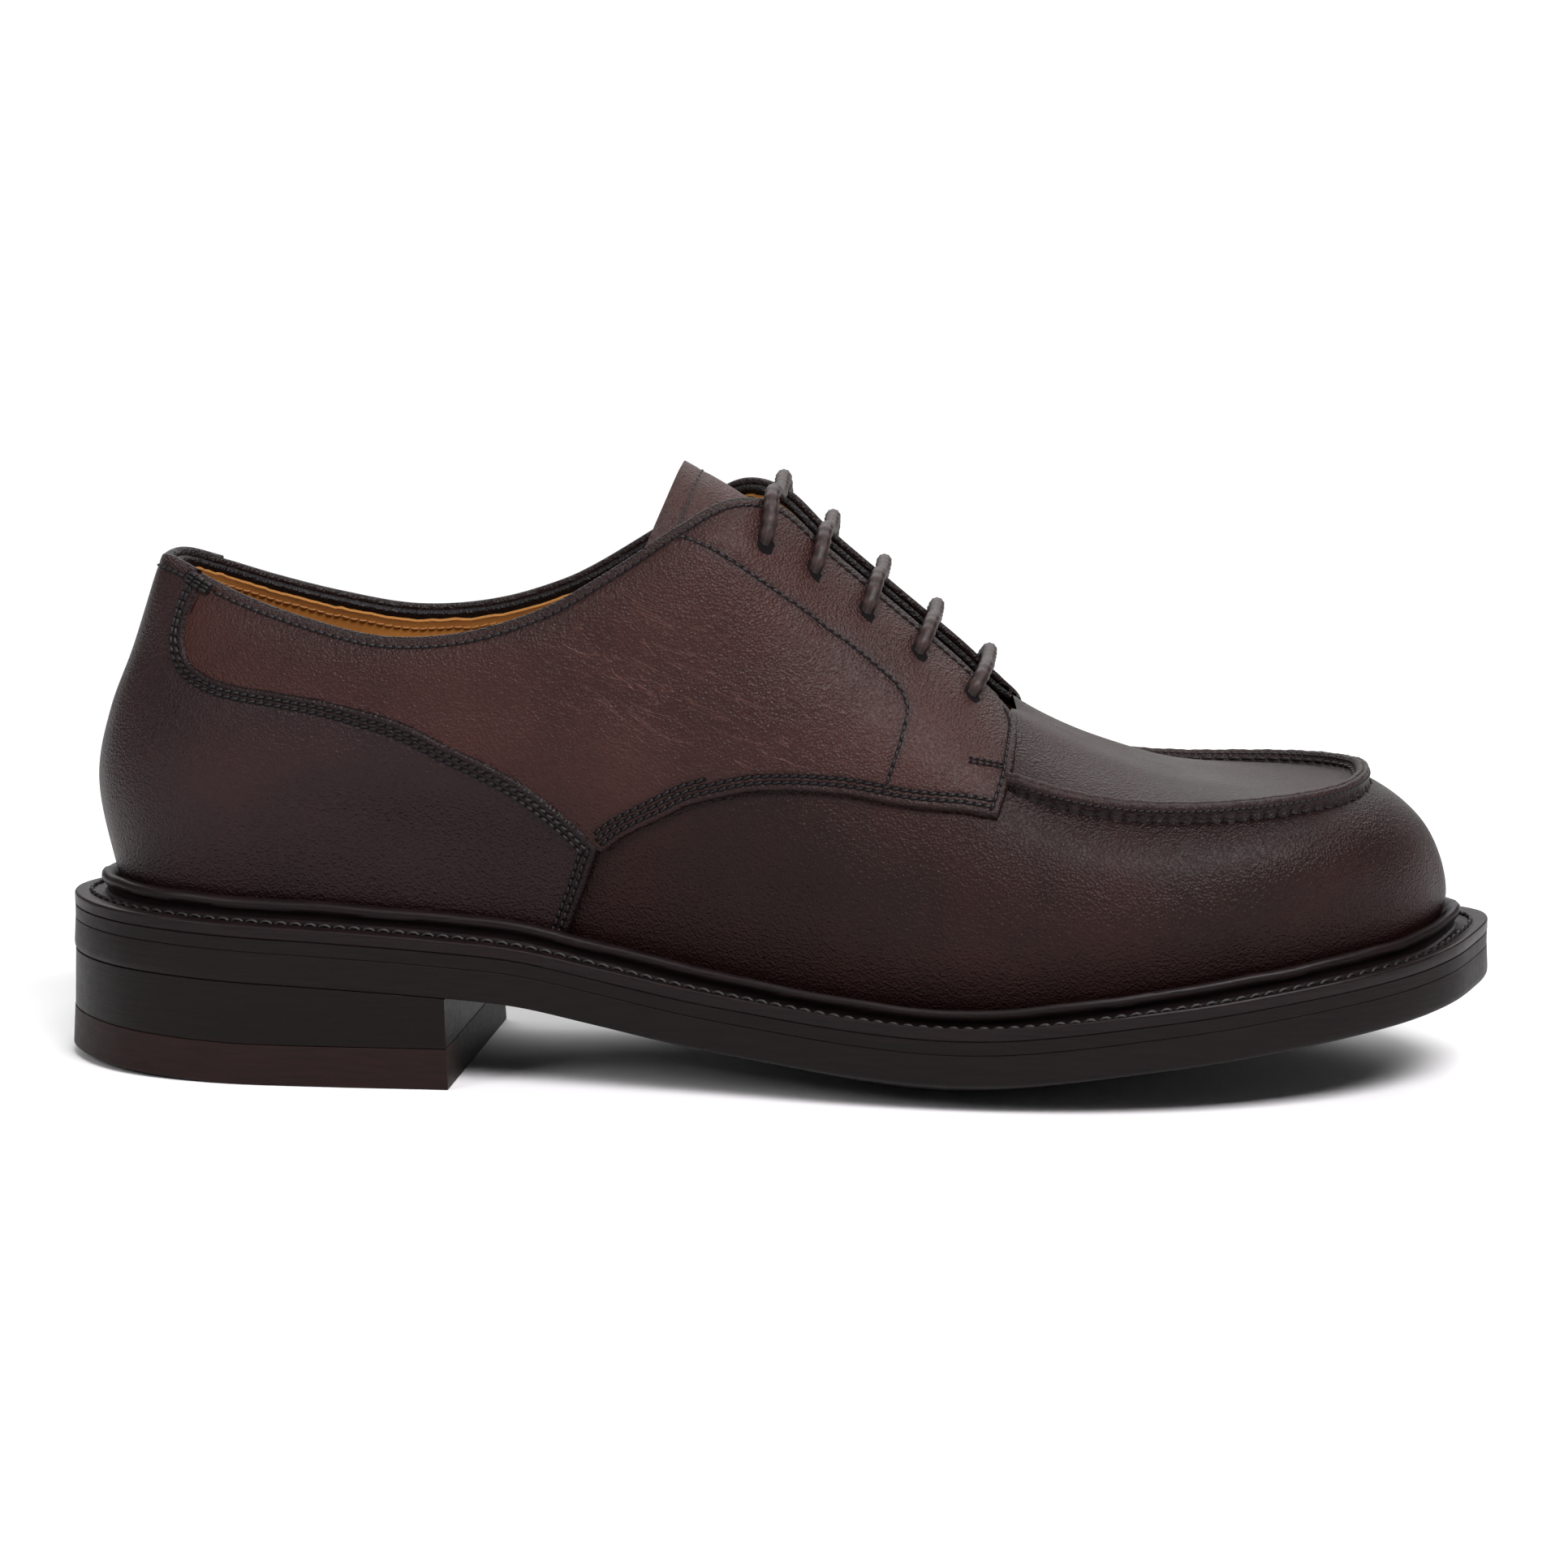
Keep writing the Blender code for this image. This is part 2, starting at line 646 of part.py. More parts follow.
def heel_body(name, inset_low, inset_high, height_low, height_high, material):
    """A slice of the heel between two height functions."""
    rings = []
    for inset, height in ((inset_low, height_low), (inset_high, height_high)):
        lateral, medial = heel_edges(inset)
        rings.append(np.column_stack([lateral, height(lateral[:, 0])]))
        rings.append(np.column_stack([medial, height(medial[:, 0])]))
    count = len(rings[0])
    points = np.concatenate(rings)
    faces = []
    for i in range(count - 1):
        low_lateral, low_medial, high_lateral, high_medial = i, count + i, 2 * count + i, 3 * count + i
        faces.append((low_lateral, low_medial, low_medial + 1, low_lateral + 1))
        faces.append((high_lateral, high_lateral + 1, high_medial + 1, high_medial))
        faces.append((low_lateral, low_lateral + 1, high_lateral + 1, high_lateral))
        faces.append((low_medial + 1, low_medial, high_medial, high_medial + 1))
    end = count - 1
    faces.append((end, count + end, 3 * count + end, 2 * count + end))
    return mesh_object(name, points, faces, material)


def build_heel():
    def under_sole(x):
        edge = table(WELT_TOP, x / LENGTH) * HEIGHT
        return edge - SOLE_DEPTH - GAP

    def lift_top(x):
        return heel_floor(x) + LIFT_DEPTH

    def block_floor(x):
        return lift_top(x) + GAP

    block = plain_material("heel leather", (0.012, 0.009, 0.008), 0.5)
    lift = plain_material("top lift rubber", (0.018, 0.012, 0.010), 0.6)
    heel_body("heel_block", -0.2, 0.4, block_floor, under_sole, block)
    heel_body("top_lift", -0.8, -0.3, heel_floor, lift_top, lift)


def build_insole():
    angles = even_angles()
    around = np.minimum(angles, 2 * math.pi - angles) / math.pi
    inset = table(FEATHER_INSET, around) + UPPER_WALL + 0.7
    middle = spine(outline(angles))
    edge = outline(angles, inset)
    reach = np.linalg.norm(outline(angles) - middle, axis=1)

    def level(share, rise):
        flat = middle + (edge - middle) * share
        part = np.linalg.norm(flat - middle, axis=1) / reach
        return np.column_stack([flat, sole_height(flat, part) + rise])

    top = GAP + INSOLE_DEPTH
    rings = [level(0.0, GAP), level(0.6, GAP), level(1.0, GAP)]
    rings += [level(1.0, top), level(0.7, top), level(0.35, top), level(0.0, top)]
    points, faces = loft(rings)
    return mesh_object("insole", points, faces, plain_material("tan lining", (0.33, 0.17, 0.06), 0.6))


def build_upper(upper):
    points, faces = upper_sheet(upper)
    walls, closed = thick_sheet(points, faces, -UPPER_WALL, 0.0)
    leather = plain_material("vamp leather", (0.030, 0.017, 0.013), 0.42)
    return mesh_object("upper", walls, closed, leather, 50.0)


def quarter_rules():
    """Rules of a quarter, from the counter's edge and the vamp seam up to the top line."""
    counter = np.array(COUNTER_EDGE)
    seam = beside(counter[:, :2], SEAM_GAP)
    rules = []
    for place, top in zip(seam[1:], counter[1:, 3]):
        rules.append((place[0], place[1], top, TOP_LEVEL, place[0], place[1]))
    for section, level, top in VAMP_SEAM:
        rules.append((section, level, top, TOP_LEVEL, section, level))
    return rules


def build_quarters(upper):
    """The two quarters with their facings, laid over the vamp."""
    columns, rows = 30, 7
    for side, name in ((-1, "quarter_lateral"), (1, "quarter_medial")):
        points = np.array(ruled_points(upper, side, quarter_rules(), columns, rows))
        faces = sheet_faces(columns, rows, side)
        walls, closed = thick_sheet(points, faces, OVERLAY_LIFT, OVERLAY_LIFT + LEATHER)
        leather = plain_material(name.replace("_", " ") + " leather", (0.032, 0.018, 0.014), 0.42)
        mesh_object(name, walls, closed, leather, 50.0)


def counter_rules():
    """Rules of the counter, from its foot up to the collar and then to its edge."""
    strip = COUNTER_EDGE[0]
    rules = []
    for share in (0.0, 0.5):
        top = strip[0] * share
        rules.append((strip[2] * share, FOOT_LEVEL, top, TOP_LEVEL, top, TOP_LEVEL))
    for section, level, foot, _ in COUNTER_EDGE:
        rules.append((foot, FOOT_LEVEL, section, level, section, level))
    return rules


def build_counter(upper):
    """Counter round the heel, with the strip that runs up the back to the collar."""
    columns, rows = 22, 7
    points = []
    faces = []
    for side in (-1, 1):
        first = len(points)
        points += ruled_points(upper, side, counter_rules(), columns, rows)
        for face in sheet_faces(columns, rows, side):
            back = rows + 1 + first if side > 0 else 0
            faces.append(tuple(i if first + i < back else first + i for i in face))
    walls, closed = thick_sheet(np.array(points), faces, COUNTER_LIFT, COUNTER_LIFT + COUNTER_LEATHER)
    leather = plain_material("counter leather", (0.028, 0.016, 0.012), 0.42)
    return mesh_object("counter", walls, closed, leather, 50.0)


def build_apron_seam(upper):
    """The raised seam round the apron, where the edges of vamp and apron stand up together."""
    last = len(SECTIONS) - 1
    sections = [15.1, 15.5] + [16 + n * 0.5 for n in range(2 * (last - 16) + 1)]
    order = [(-1, s) for s in sections] + [(1, s) for s in reversed(sections[:-1])]
    rings = []
    for side, section in order:
        outer = upper.point(side, section, SHOULDER_LEVEL)
        inner = upper.point(side, section, SHOULDER_LEVEL + 0.08)
        across = (inner - outer) / np.linalg.norm(inner - outer)
        up = upper.normal(side, section, SHOULDER_LEVEL + 0.03)
        foot = outer + across * SEAM_BREADTH
        shape = [
            outer + up * OVERLAY_LIFT,
            outer + across * 0.1 + up * (SEAM_RISE - 0.5),
            outer + across * 0.7 + up * SEAM_RISE,
            foot - across * 0.8 + up * SEAM_RISE,
            foot - across * 0.1 + up * (SEAM_RISE - 0.6),
            foot + up * (OVERLAY_LIFT + 0.15),
        ]
        rings.append(np.array(shape))
    points, faces = loft(rings)
    count = len(rings[0])
    faces.append(tuple(range(count)))
    faces.append(tuple(reversed(range(len(points) - count, len(points)))))
    leather = plain_material("apron seam leather", (0.022, 0.013, 0.011), 0.5)
    return mesh_object("apron_seam", points, faces, leather, 50.0)


def build_tongue():
    """Tongue under the facings: an arched sheet from its root to its top edge."""
    data = np.array(TONGUE, float)
    middle = data[:, :2] * np.array([LENGTH, HEIGHT])
    length = np.concatenate([[0.0], np.cumsum(np.linalg.norm(np.diff(middle, axis=0), axis=1))])
    steps = np.linspace(0, length[-1], 15)
    rows = curve(length, np.column_stack([middle, data[:, 2:]]), steps)
    across = np.linspace(-1, 1, 11)
    points = []
    for x, z, half, drop, back in rows:
        for share in across:
            fall = abs(share) ** 1.9
            points.append((x - back * fall, half * share, z - drop * fall))
    faces = []
    wide = len(across)
    for row in range(len(rows) - 1):
        for column in range(wide - 1):
            a = row * wide + column
            faces.append((a, a + 1, a + wide + 1, a + wide))
    walls, closed = thick_sheet(np.array(points, float), faces, -TONGUE_DEPTH, 0.0)
    leather = plain_material("tongue leather", (0.036, 0.020, 0.015), 0.45)
    return mesh_object("tongue", walls, closed, leather, 50.0)


def tube(path, radius, sides):
    """Points and faces of a round bar with closed ends along a path."""
    path = np.array(path, float)
    rings = []
    for n, place in enumerate(path):
        ahead = path[min(n + 1, len(path) - 1)] - path[max(n - 1, 0)]
        ahead /= np.linalg.norm(ahead)
        out = np.cross(ahead, (1.0, 0.0, 0.0))
        out /= np.linalg.norm(out)
        side = np.cross(out, ahead)
        turns = np.arange(sides) * 2 * math.pi / sides
        circle = np.cos(turns)[:, None] * out + np.sin(turns)[:, None] * side
        rings.append(place + circle * radius)
    points, faces = loft(rings)
    faces.append(tuple(range(sides)))
    faces.append(tuple(reversed(range(len(points) - sides, len(points)))))
    return points, faces


def build_laces(upper):
    """Five straight bars of lace from eyelet to eyelet over the facings."""
    cotton = plain_material("waxed lace", (0.018, 0.012, 0.010), 0.55)
    rise = OVERLAY_LIFT + LEATHER + GAP + LACE_RADIUS
    for n, section in enumerate(LACE_SECTIONS):
        half = []
        for side in (-1, 1):
            eyelet = upper.above(side, section, LACE_LEVEL, rise + 0.1)
            edge = upper.above(side, section, TOP_LEVEL - 0.003, rise + 0.9)
            half.append((eyelet, edge))
        (start, left), (end, right) = half
        top = (left + right) / 2 + np.array([0.4, 0.0, 1.0])
        knots = [0.0, 1.0, 2.0, 3.0, 4.0]
        path = curve(knots, np.array([start, left, top, right, end]), np.linspace(0, 4, 11))
        points, faces = tube(path, LACE_RADIUS, LACE_SIDES)
        mesh_object("lace_bar_" + str(n + 1), points, faces, cotton, 60.0)


def clear_scene():
    for piece in list(bpy.data.objects):
        bpy.data.objects.remove(piece, do_unlink=True)


def main():
    clear_scene()
    upper = Upper()
    build_outsole()
    build_midsole()
    build_welt()
    build_heel()
    build_insole()
    build_upper(upper)
    build_quarters(upper)
    build_counter(upper)
    build_apron_seam(upper)
    build_tongue()
    build_laces(upper)


main()
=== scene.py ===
"""Looks of the apron toe derby, a right shoe in dark brown burnished calf.

Lengths are in millimetres until add_piece turns them into metres. Sizes and tables measure
x from the back of the heel, and HEEL_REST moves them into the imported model's frame.
"""

import math

import bmesh
import bpy
import numpy as np
from mathutils import Matrix, Vector


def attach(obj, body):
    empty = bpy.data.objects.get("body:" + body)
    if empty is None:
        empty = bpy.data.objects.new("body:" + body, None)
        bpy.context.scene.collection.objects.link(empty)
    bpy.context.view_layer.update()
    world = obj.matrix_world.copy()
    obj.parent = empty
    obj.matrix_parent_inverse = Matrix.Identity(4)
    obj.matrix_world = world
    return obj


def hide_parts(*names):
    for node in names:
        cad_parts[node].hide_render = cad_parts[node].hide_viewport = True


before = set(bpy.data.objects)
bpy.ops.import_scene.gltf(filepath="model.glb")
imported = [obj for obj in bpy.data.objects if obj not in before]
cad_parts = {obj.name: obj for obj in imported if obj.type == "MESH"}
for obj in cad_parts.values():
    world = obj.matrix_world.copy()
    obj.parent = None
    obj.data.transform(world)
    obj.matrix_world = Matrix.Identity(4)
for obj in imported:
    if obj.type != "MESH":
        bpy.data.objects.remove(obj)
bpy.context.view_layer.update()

MM = 0.001

# Sizes of the shoe
HEEL_REST = 62.0
LENGTH = 300.0
WIDTH = 100.0
HEIGHT = 100.0
SOLE_DEPTH = 12.3
WELT_DEPTH = 2.8
MIDSOLE_DEPTH = 2.5
LIFT_DEPTH = 8.4
HEEL_END = 85.5
BREAST_SKEW = 3.2
UPPER_WALL = 1.4
QUARTER_RISE = 1.65
COUNTER_RISE = 2.35
LINING_DEPTH = 0.8
LINING_DROP = 1.7
TONGUE_DEPTH = 1.8
LACE_RADIUS = 1.6
LACE_STEP = 0.26
EYELET_RADIUS = 2.05
RIM_START = 14.8
FRONT_BULGE = 0.20
CORNER_CUT = 0.40
QUARTER_TUCK = 2.2
FOOT_GAP = 0.65
DOME_POWER = 2.4
HEEL_BEVEL = 2.0
HEEL_BEVEL_REACH = 42.0

# Sewing
STITCH_PITCH = 1.9
FINE_PITCH = 1.5
RIM_PITCH = 2.9
WELT_PITCH = 3.1
THREAD_RADIUS = 0.30
EDGE_ROUND = 0.9
TROUGH_HALF = 0.55
ROW_INSETS = (2.0, 3.3)
TOP_ROW_DROP = 2.0
BACK_ROW_DROP = 2.2
LINING_ROW_DROP = 2.4

# Resolution
SKIN_SECTION_STEP = 0.05
SKIN_LEVEL_STEP = 0.01
SOLE_POINTS = 360
ROW_STEP = 0.4

# Outline of the sole seen from above: share of LENGTH, then the lateral and the
# medial edge as shares of WIDTH.
OUTLINE = [
    (0.000, 0.000, 0.000),
    (0.010, -0.112, 0.108),
    (0.027, -0.186, 0.180),
    (0.050, -0.248, 0.243),
    (0.117, -0.324, 0.318),
    (0.200, -0.344, 0.336),
    (0.283, -0.350, 0.332),
    (0.367, -0.364, 0.320),
    (0.467, -0.406, 0.345),
    (0.567, -0.466, 0.415),
    (0.667, -0.503, 0.500),
    (0.733, -0.511, 0.527),
    (0.800, -0.490, 0.524),
    (0.883, -0.408, 0.468),
    (0.950, -0.264, 0.345),
    (0.973, -0.178, 0.272),
    (0.990, -0.064, 0.182),
    (1.000, 0.065, 0.065),
]

# Height of the welt's flat top at its edge: share of LENGTH, share of HEIGHT.
WELT_TOP = [
    (0.000, 0.350),
    (0.060, 0.346),
    (0.130, 0.337),
    (0.200, 0.328),
    (0.270, 0.315),
    (0.330, 0.299),
    (0.380, 0.270),
    (0.447, 0.232),
    (0.507, 0.208),
    (0.567, 0.189),
    (0.620, 0.180),
    (0.667, 0.184),
    (0.710, 0.198),
    (0.757, 0.217),
    (0.807, 0.236),
    (0.850, 0.254),
    (0.903, 0.275),
    (0.950, 0.294),
    (1.000, 0.323),
]

# How far the middle of the sole lies below its edge: share of LENGTH, millimetres.
DOME = [
    (0.000, 0.0),
    (0.300, 0.0),
    (0.380, 0.8),
    (0.480, 3.1),
    (0.560, 5.8),
    (0.600, 6.9),
    (0.640, 7.0),
    (0.700, 6.0),
    (0.800, 3.8),
    (0.900, 2.2),
    (1.000, 1.2),
]

# How far the upper stands in from the sole's edge: share of the way round from heel
# to toe, millimetres.
FEATHER_INSET = [
    (0.00, 12.4),
    (0.45, 12.2),
    (0.60, 11.6),
    (0.66, 10.8),
    (1.00, 10.6),
]

# Sections of the upper, from the heel to the toe, the same for both sides.
# around: share of the way round the sole's outline
# hip_out, hip_up: widest point, millimetres out from and above the lower edge
# full: swell of the wall between hip and shoulder, millimetres
# shoulder and top: share of LENGTH, lateral and medial share of WIDTH, share of HEIGHT
SECTIONS = [
    # around, hip_out, hip_up, full, shoulder x, lateral, medial, z, top x, lateral, medial, z
    (0.000, 4.4, 24, 1.2, 0.052, 0.000, 0.000, 0.860, 0.074, 0.000, 0.000, 1.055),
    (0.070, 4.4, 24, 1.2, 0.058, -0.070, 0.070, 0.860, 0.078, -0.050, 0.050, 1.057),
    (0.130, 4.4, 24, 1.3, 0.082, -0.150, 0.150, 0.845, 0.099, -0.110, 0.110, 1.033),
    (0.200, 4.4, 24, 1.4, 0.120, -0.220, 0.220, 0.820, 0.134, -0.170, 0.170, 0.992),
    (0.260, 4.4, 23, 1.5, 0.170, -0.265, 0.265, 0.795, 0.179, -0.215, 0.215, 0.952),
    (0.320, 4.4, 22, 1.6, 0.233, -0.293, 0.293, 0.775, 0.237, -0.255, 0.255, 0.920),
    (0.375, 4.2, 20, 1.8, 0.302, -0.313, 0.310, 0.775, 0.298, -0.275, 0.270, 0.936),
    (0.420, 4.2, 20, 2.0, 0.367, -0.325, 0.315, 0.805, 0.358, -0.278, 0.270, 1.001),
    (0.460, 4.2, 19, 2.1, 0.423, -0.330, 0.320, 0.845, 0.405, -0.265, 0.260, 1.084),
    (0.490, 4.2, 19, 2.2, 0.467, -0.330, 0.320, 0.865, 0.442, -0.245, 0.240, 1.157),
    (0.510, 4.2, 19, 2.3, 0.497, -0.328, 0.320, 0.865, 0.473, -0.205, 0.205, 1.204),
    (0.525, 4.4, 18, 2.4, 0.522, -0.325, 0.320, 0.850, 0.500, -0.145, 0.145, 1.190),
    (0.540, 4.4, 18, 2.5, 0.547, -0.320, 0.320, 0.820, 0.530, -0.123, 0.123, 1.110),
    (0.565, 4.4, 18, 2.5, 0.587, -0.320, 0.323, 0.765, 0.577, -0.120, 0.120, 0.992),
    (0.590, 4.4, 18, 2.6, 0.627, -0.326, 0.330, 0.706, 0.622, -0.124, 0.124, 0.880),
    (0.615, 4.4, 17, 2.8, 0.668, -0.336, 0.340, 0.640, 0.664, -0.135, 0.135, 0.768),
    (0.640, 4.4, 17, 3.0, 0.706, -0.340, 0.350, 0.606, 0.703, -0.140, 0.160, 0.702),
    (0.665, 4.4, 17, 3.0, 0.742, -0.337, 0.358, 0.588, 0.737, -0.140, 0.165, 0.666),
    (0.695, 4.2, 16, 3.2, 0.787, -0.327, 0.360, 0.582, 0.777, -0.143, 0.175, 0.633),
    (0.730, 3.8, 15, 3.6, 0.828, -0.305, 0.345, 0.587, 0.812, -0.140, 0.180, 0.619),
    (0.770, 3.0, 13, 4.0, 0.862, -0.262, 0.308, 0.594, 0.838, -0.125, 0.175, 0.613),
    (0.815, 2.4, 11, 4.3, 0.887, -0.202, 0.255, 0.600, 0.857, -0.093, 0.146, 0.610),
    (0.860, 2.0, 9, 4.4, 0.902, -0.130, 0.190, 0.605, 0.868, -0.056, 0.113, 0.609),
    (0.930, 1.7, 8, 4.4, 0.911, -0.045, 0.115, 0.610, 0.875, -0.010, 0.073, 0.609),
    (1.000, 1.7, 8, 4.4, 0.913, 0.036, 0.036, 0.611, 0.877, 0.032, 0.032, 0.609),
]
LAST = len(SECTIONS) - 1

# Middle of the apron, one row for each section from THROAT on: share of LENGTH,
# share of WIDTH, share of HEIGHT.
THROAT = 15
CREST = [
    (0.668, 0.010, 0.757),
    (0.703, 0.010, 0.713),
    (0.733, 0.010, 0.676),
    (0.775, 0.015, 0.641),
    (0.803, 0.020, 0.624),
    (0.825, 0.025, 0.615),
    (0.838, 0.028, 0.611),
    (0.847, 0.030, 0.610),
    (0.852, 0.030, 0.609),
    (0.853, 0.031, 0.609),
]

# Height share on a section of the lower edge, hip, swell, shoulder, top and crest.
LEVELS = (0.0, 0.20, 0.40, 0.60, 0.85, 1.0)
TOP_LEVEL = 0.85
SHOULDER_LEVEL = 0.60
THROAT_BLEND = 0.4

# Tongue from its root to its top edge: share of LENGTH and of HEIGHT along the middle,
# half breadth, drop of the sides, set-back of the sides.
TONGUE = [
    (0.697, 0.697, 15.0, 1.6, 0.0),
    (0.663, 0.730, 19.0, 3.0, 0.0),
    (0.627, 0.835, 21.0, 6.5, 0.0),
    (0.580, 0.955, 22.5, 10.5, 0.0),
    (0.533, 1.072, 23.5, 14.5, 0.5),
    (0.500, 1.150, 24.0, 17.0, 2.5),
    (0.470, 1.212, 24.0, 19.0, 5.0),
    (0.435, 1.273, 24.0, 20.5, 8.0),
]

# Share of the way up the tongue at which its row of stitches runs across.
TONGUE_ROW = 0.957

# Seams on the upper, as section number and height share. Each row also names the
# sections at the foot and at the top line that the rule through it leads to.
COUNTER_EDGE = [
    # section, level, foot, top
    (2.08, 0.850, 1.20, 2.30),
    (2.24, 0.844, 1.35, 2.40),
    (2.23, 0.800, 1.50, 2.52),
    (2.17, 0.750, 1.70, 2.65),
    (2.23, 0.676, 1.95, 2.90),
    (2.46, 0.635, 2.20, 3.20),
    (2.90, 0.616, 2.60, 3.60),
    (3.91, 0.624, 3.60, 4.30),
    (4.39, 0.626, 4.10, 4.70),
    (4.99, 0.605, 4.70, 5.20),
    (5.78, 0.507, 5.50, 5.90),
    (6.41, 0.413, 6.05, 6.50),
    (6.81, 0.331, 6.40, 6.95),
    (7.15, 0.250, 6.72, 7.35),
]
VAMP_SEAM = [
    # section, level, top
    (7.22, 0.245, 7.50),
    (7.42, 0.285, 7.80),
    (7.82, 0.335, 8.20),
    (8.31, 0.373, 8.70),
    (8.84, 0.393, 9.30),
    (10.34, 0.418, 10.60),
    (12.15, 0.442, 12.20),
    (13.31, 0.460, 13.30),
    (14.72, 0.505, 14.98),
]
FACING_STITCH = [
    # section, level
    (8.89, 0.832),
    (9.38, 0.789),
    (9.89, 0.749),
    (10.86, 0.710),
    (11.77, 0.700),
    (12.33, 0.696),
    (12.81, 0.687),
    (13.08, 0.678),
    (13.21, 0.658),
    (13.14, 0.596),
    (12.94, 0.527),
    (12.74, 0.468),
]
FACING_TACK = [
    (14.28, 0.607),
    (14.84, 0.643),
]
COLLAR_TACK = [
    (1.86, 0.822),
    (2.42, 0.816),
]
TUCK_CORNER = (1.72, 0.842)
FOOT_LEVEL = 0.012
LACE_SECTIONS = (10.62, 11.80, 12.67, 13.48, 14.32)
LACE_LEVEL = 0.78
SECTION_STEP = 9.0
LEVEL_STEP = 90.0

# Soft hollows and swells of the worn-in leather: share of LENGTH, share of HEIGHT,
# lean in degrees, half length, half breadth and rise in millimetres.
SOFT_FORMS = [
    (0.375, 0.93, -24, 22, 5.0, -0.45),
    (0.400, 0.86, -26, 26, 4.0, 0.25),
    (0.430, 0.79, -22, 24, 4.5, -0.40),
    (0.335, 0.80, 20, 12, 9.0, -0.35),
    (0.530, 0.70, 38, 18, 7.0, -0.45),
    (0.560, 0.50, 12, 20, 7.0, 0.35),
    (0.505, 0.45, -18, 16, 6.0, -0.40),
    (0.620, 0.42, -30, 18, 7.0, -0.35),
    (0.690, 0.50, 8, 26, 6.0, 0.30),
    (0.150, 0.62, 15, 20, 12.0, 0.35),
    (0.240, 0.50, -8, 22, 8.0, -0.35),
]

# Fine creases below the collar: share of LENGTH, share of HEIGHT, lean in degrees, half
# length and half breadth in millimetres.
CREASES = (0.435, 0.84, -27, 42, 13)


def slopes(knots, values):
    """Three-point slopes of the rows of values at the knots."""
    step = np.diff(knots)[:, None]
    rate = np.diff(values, axis=0) / step
    inner = (rate[:-1] * step[1:] + rate[1:] * step[:-1]) / (step[:-1] + step[1:])
    return np.vstack([rate[:1], inner, rate[-1:]])


def curve(knots, values, at):
    """Smooth curve through rows of values, read at the places in at."""
    knots = np.asarray(knots, float)
    values = np.asarray(values, float)
    if values.ndim == 1:
        return curve(knots, values[:, None], at)[..., 0]
    at = np.clip(np.asarray(at, float), knots[0], knots[-1])
    slope = slopes(knots, values)
    row = np.clip(np.searchsorted(knots, at, side="right") - 1, 0, len(knots) - 2)
    step = (knots[row + 1] - knots[row])[..., None]
    t = (at - knots[row])[..., None] / step
    start, end = values[row], values[row + 1]
    rise = (3 - 2 * t) * t * t
    lean = slope[row] * (t * (1 - t) ** 2) - slope[row + 1] * (t * t * (1 - t))
    return start * (1 - rise) + end * rise + lean * step


def closed_curve(knots, values, period, at):
    """The same through a closed loop of rows, whose first row comes again after period."""
    knots = np.asarray(knots, float)
    values = np.asarray(values, float)
    wide_knots = np.concatenate([knots[-3:] - period, knots, knots[:3] + period])
    wide_values = np.concatenate([values[-3:], values, values[:3]])
    return curve(wide_knots, wide_values, np.mod(at, period))


def table(rows, at, column=1):
    """Reads one column of a table at the first column's value."""
    data = np.array(rows, float)
    return curve(data[:, 0], data[:, column], at)


def outline_loop():
    """Angles and edge offsets of the outline: lateral side out, medial side back."""
    data = np.array(OUTLINE)
    angle = np.arccos(1 - 2 * data[:, 0])
    angles = np.concatenate([angle, 2 * math.pi - angle[-2:0:-1]])
    offsets = np.concatenate([data[:, 1], data[-2:0:-1, 2]]) * WIDTH
    return angles, offsets


def outline(angle, inset=0.0):
    """Points of the sole's outline moved in by inset. Angle 0 is the heel, pi the toe."""
    angles, offsets = outline_loop()
    angle = np.asarray(angle, float)

    def place(a):
        y = closed_curve(angles, offsets[:, None], 2 * math.pi, a)[..., 0]
        return np.stack([LENGTH * (1 - np.cos(a)) / 2, y], axis=-1)

    small = 0.01
    along = place(angle + small) - place(angle - small)
    along /= np.linalg.norm(along, axis=-1, keepdims=True)
    inward = np.stack([-along[..., 1], along[..., 0]], axis=-1)
    return place(angle) + inward * np.asarray(inset, float)[..., None]


def spine(points):
    """The nearest place on the line down the middle of the sole."""
    angles, offsets = outline_loop()
    x = np.clip(points[..., 0], 0.09 * LENGTH, 0.885 * LENGTH)
    angle = np.arccos(1 - 2 * x / LENGTH)
    lateral = closed_curve(angles, offsets[:, None], 2 * math.pi, angle)[..., 0]
    medial = closed_curve(angles, offsets[:, None], 2 * math.pi, 2 * math.pi - angle)[..., 0]
    return np.stack([x, (lateral + medial) / 2], axis=-1)


def sole_height(points, share):
    """Height of the welt's top, where share is 1 at the edge and 0 on the spine."""
    x = np.clip(points[..., 0] / LENGTH, 0, 1)
    edge = table(WELT_TOP, x) * HEIGHT
    return edge - table(DOME, x) * (1 - np.clip(share, 0, 1) ** DOME_POWER)


def sole_angles():
    return np.arange(SOLE_POINTS) * 2 * math.pi / SOLE_POINTS


def over_sole(angles, flat, rise):
    """Lifts a flat ring to the given rise above the welt's top."""
    middle = spine(outline(angles))
    reach = np.linalg.norm(outline(angles) - middle, axis=1)
    share = np.linalg.norm(flat - middle, axis=1) / reach
    return np.column_stack([flat, sole_height(flat, share) + rise])


def ring(angles, inset, rise):
    """A ring of points round the sole, inset from its edge and rise above the welt's top."""
    return over_sole(angles, outline(angles, inset), rise)


def inner_ring(angles, inset, share, rise):
    """A ring that share of the way from the spine to the ring at inset."""
    middle = spine(outline(angles))
    return over_sole(angles, middle + (outline(angles, inset) - middle) * share, rise)


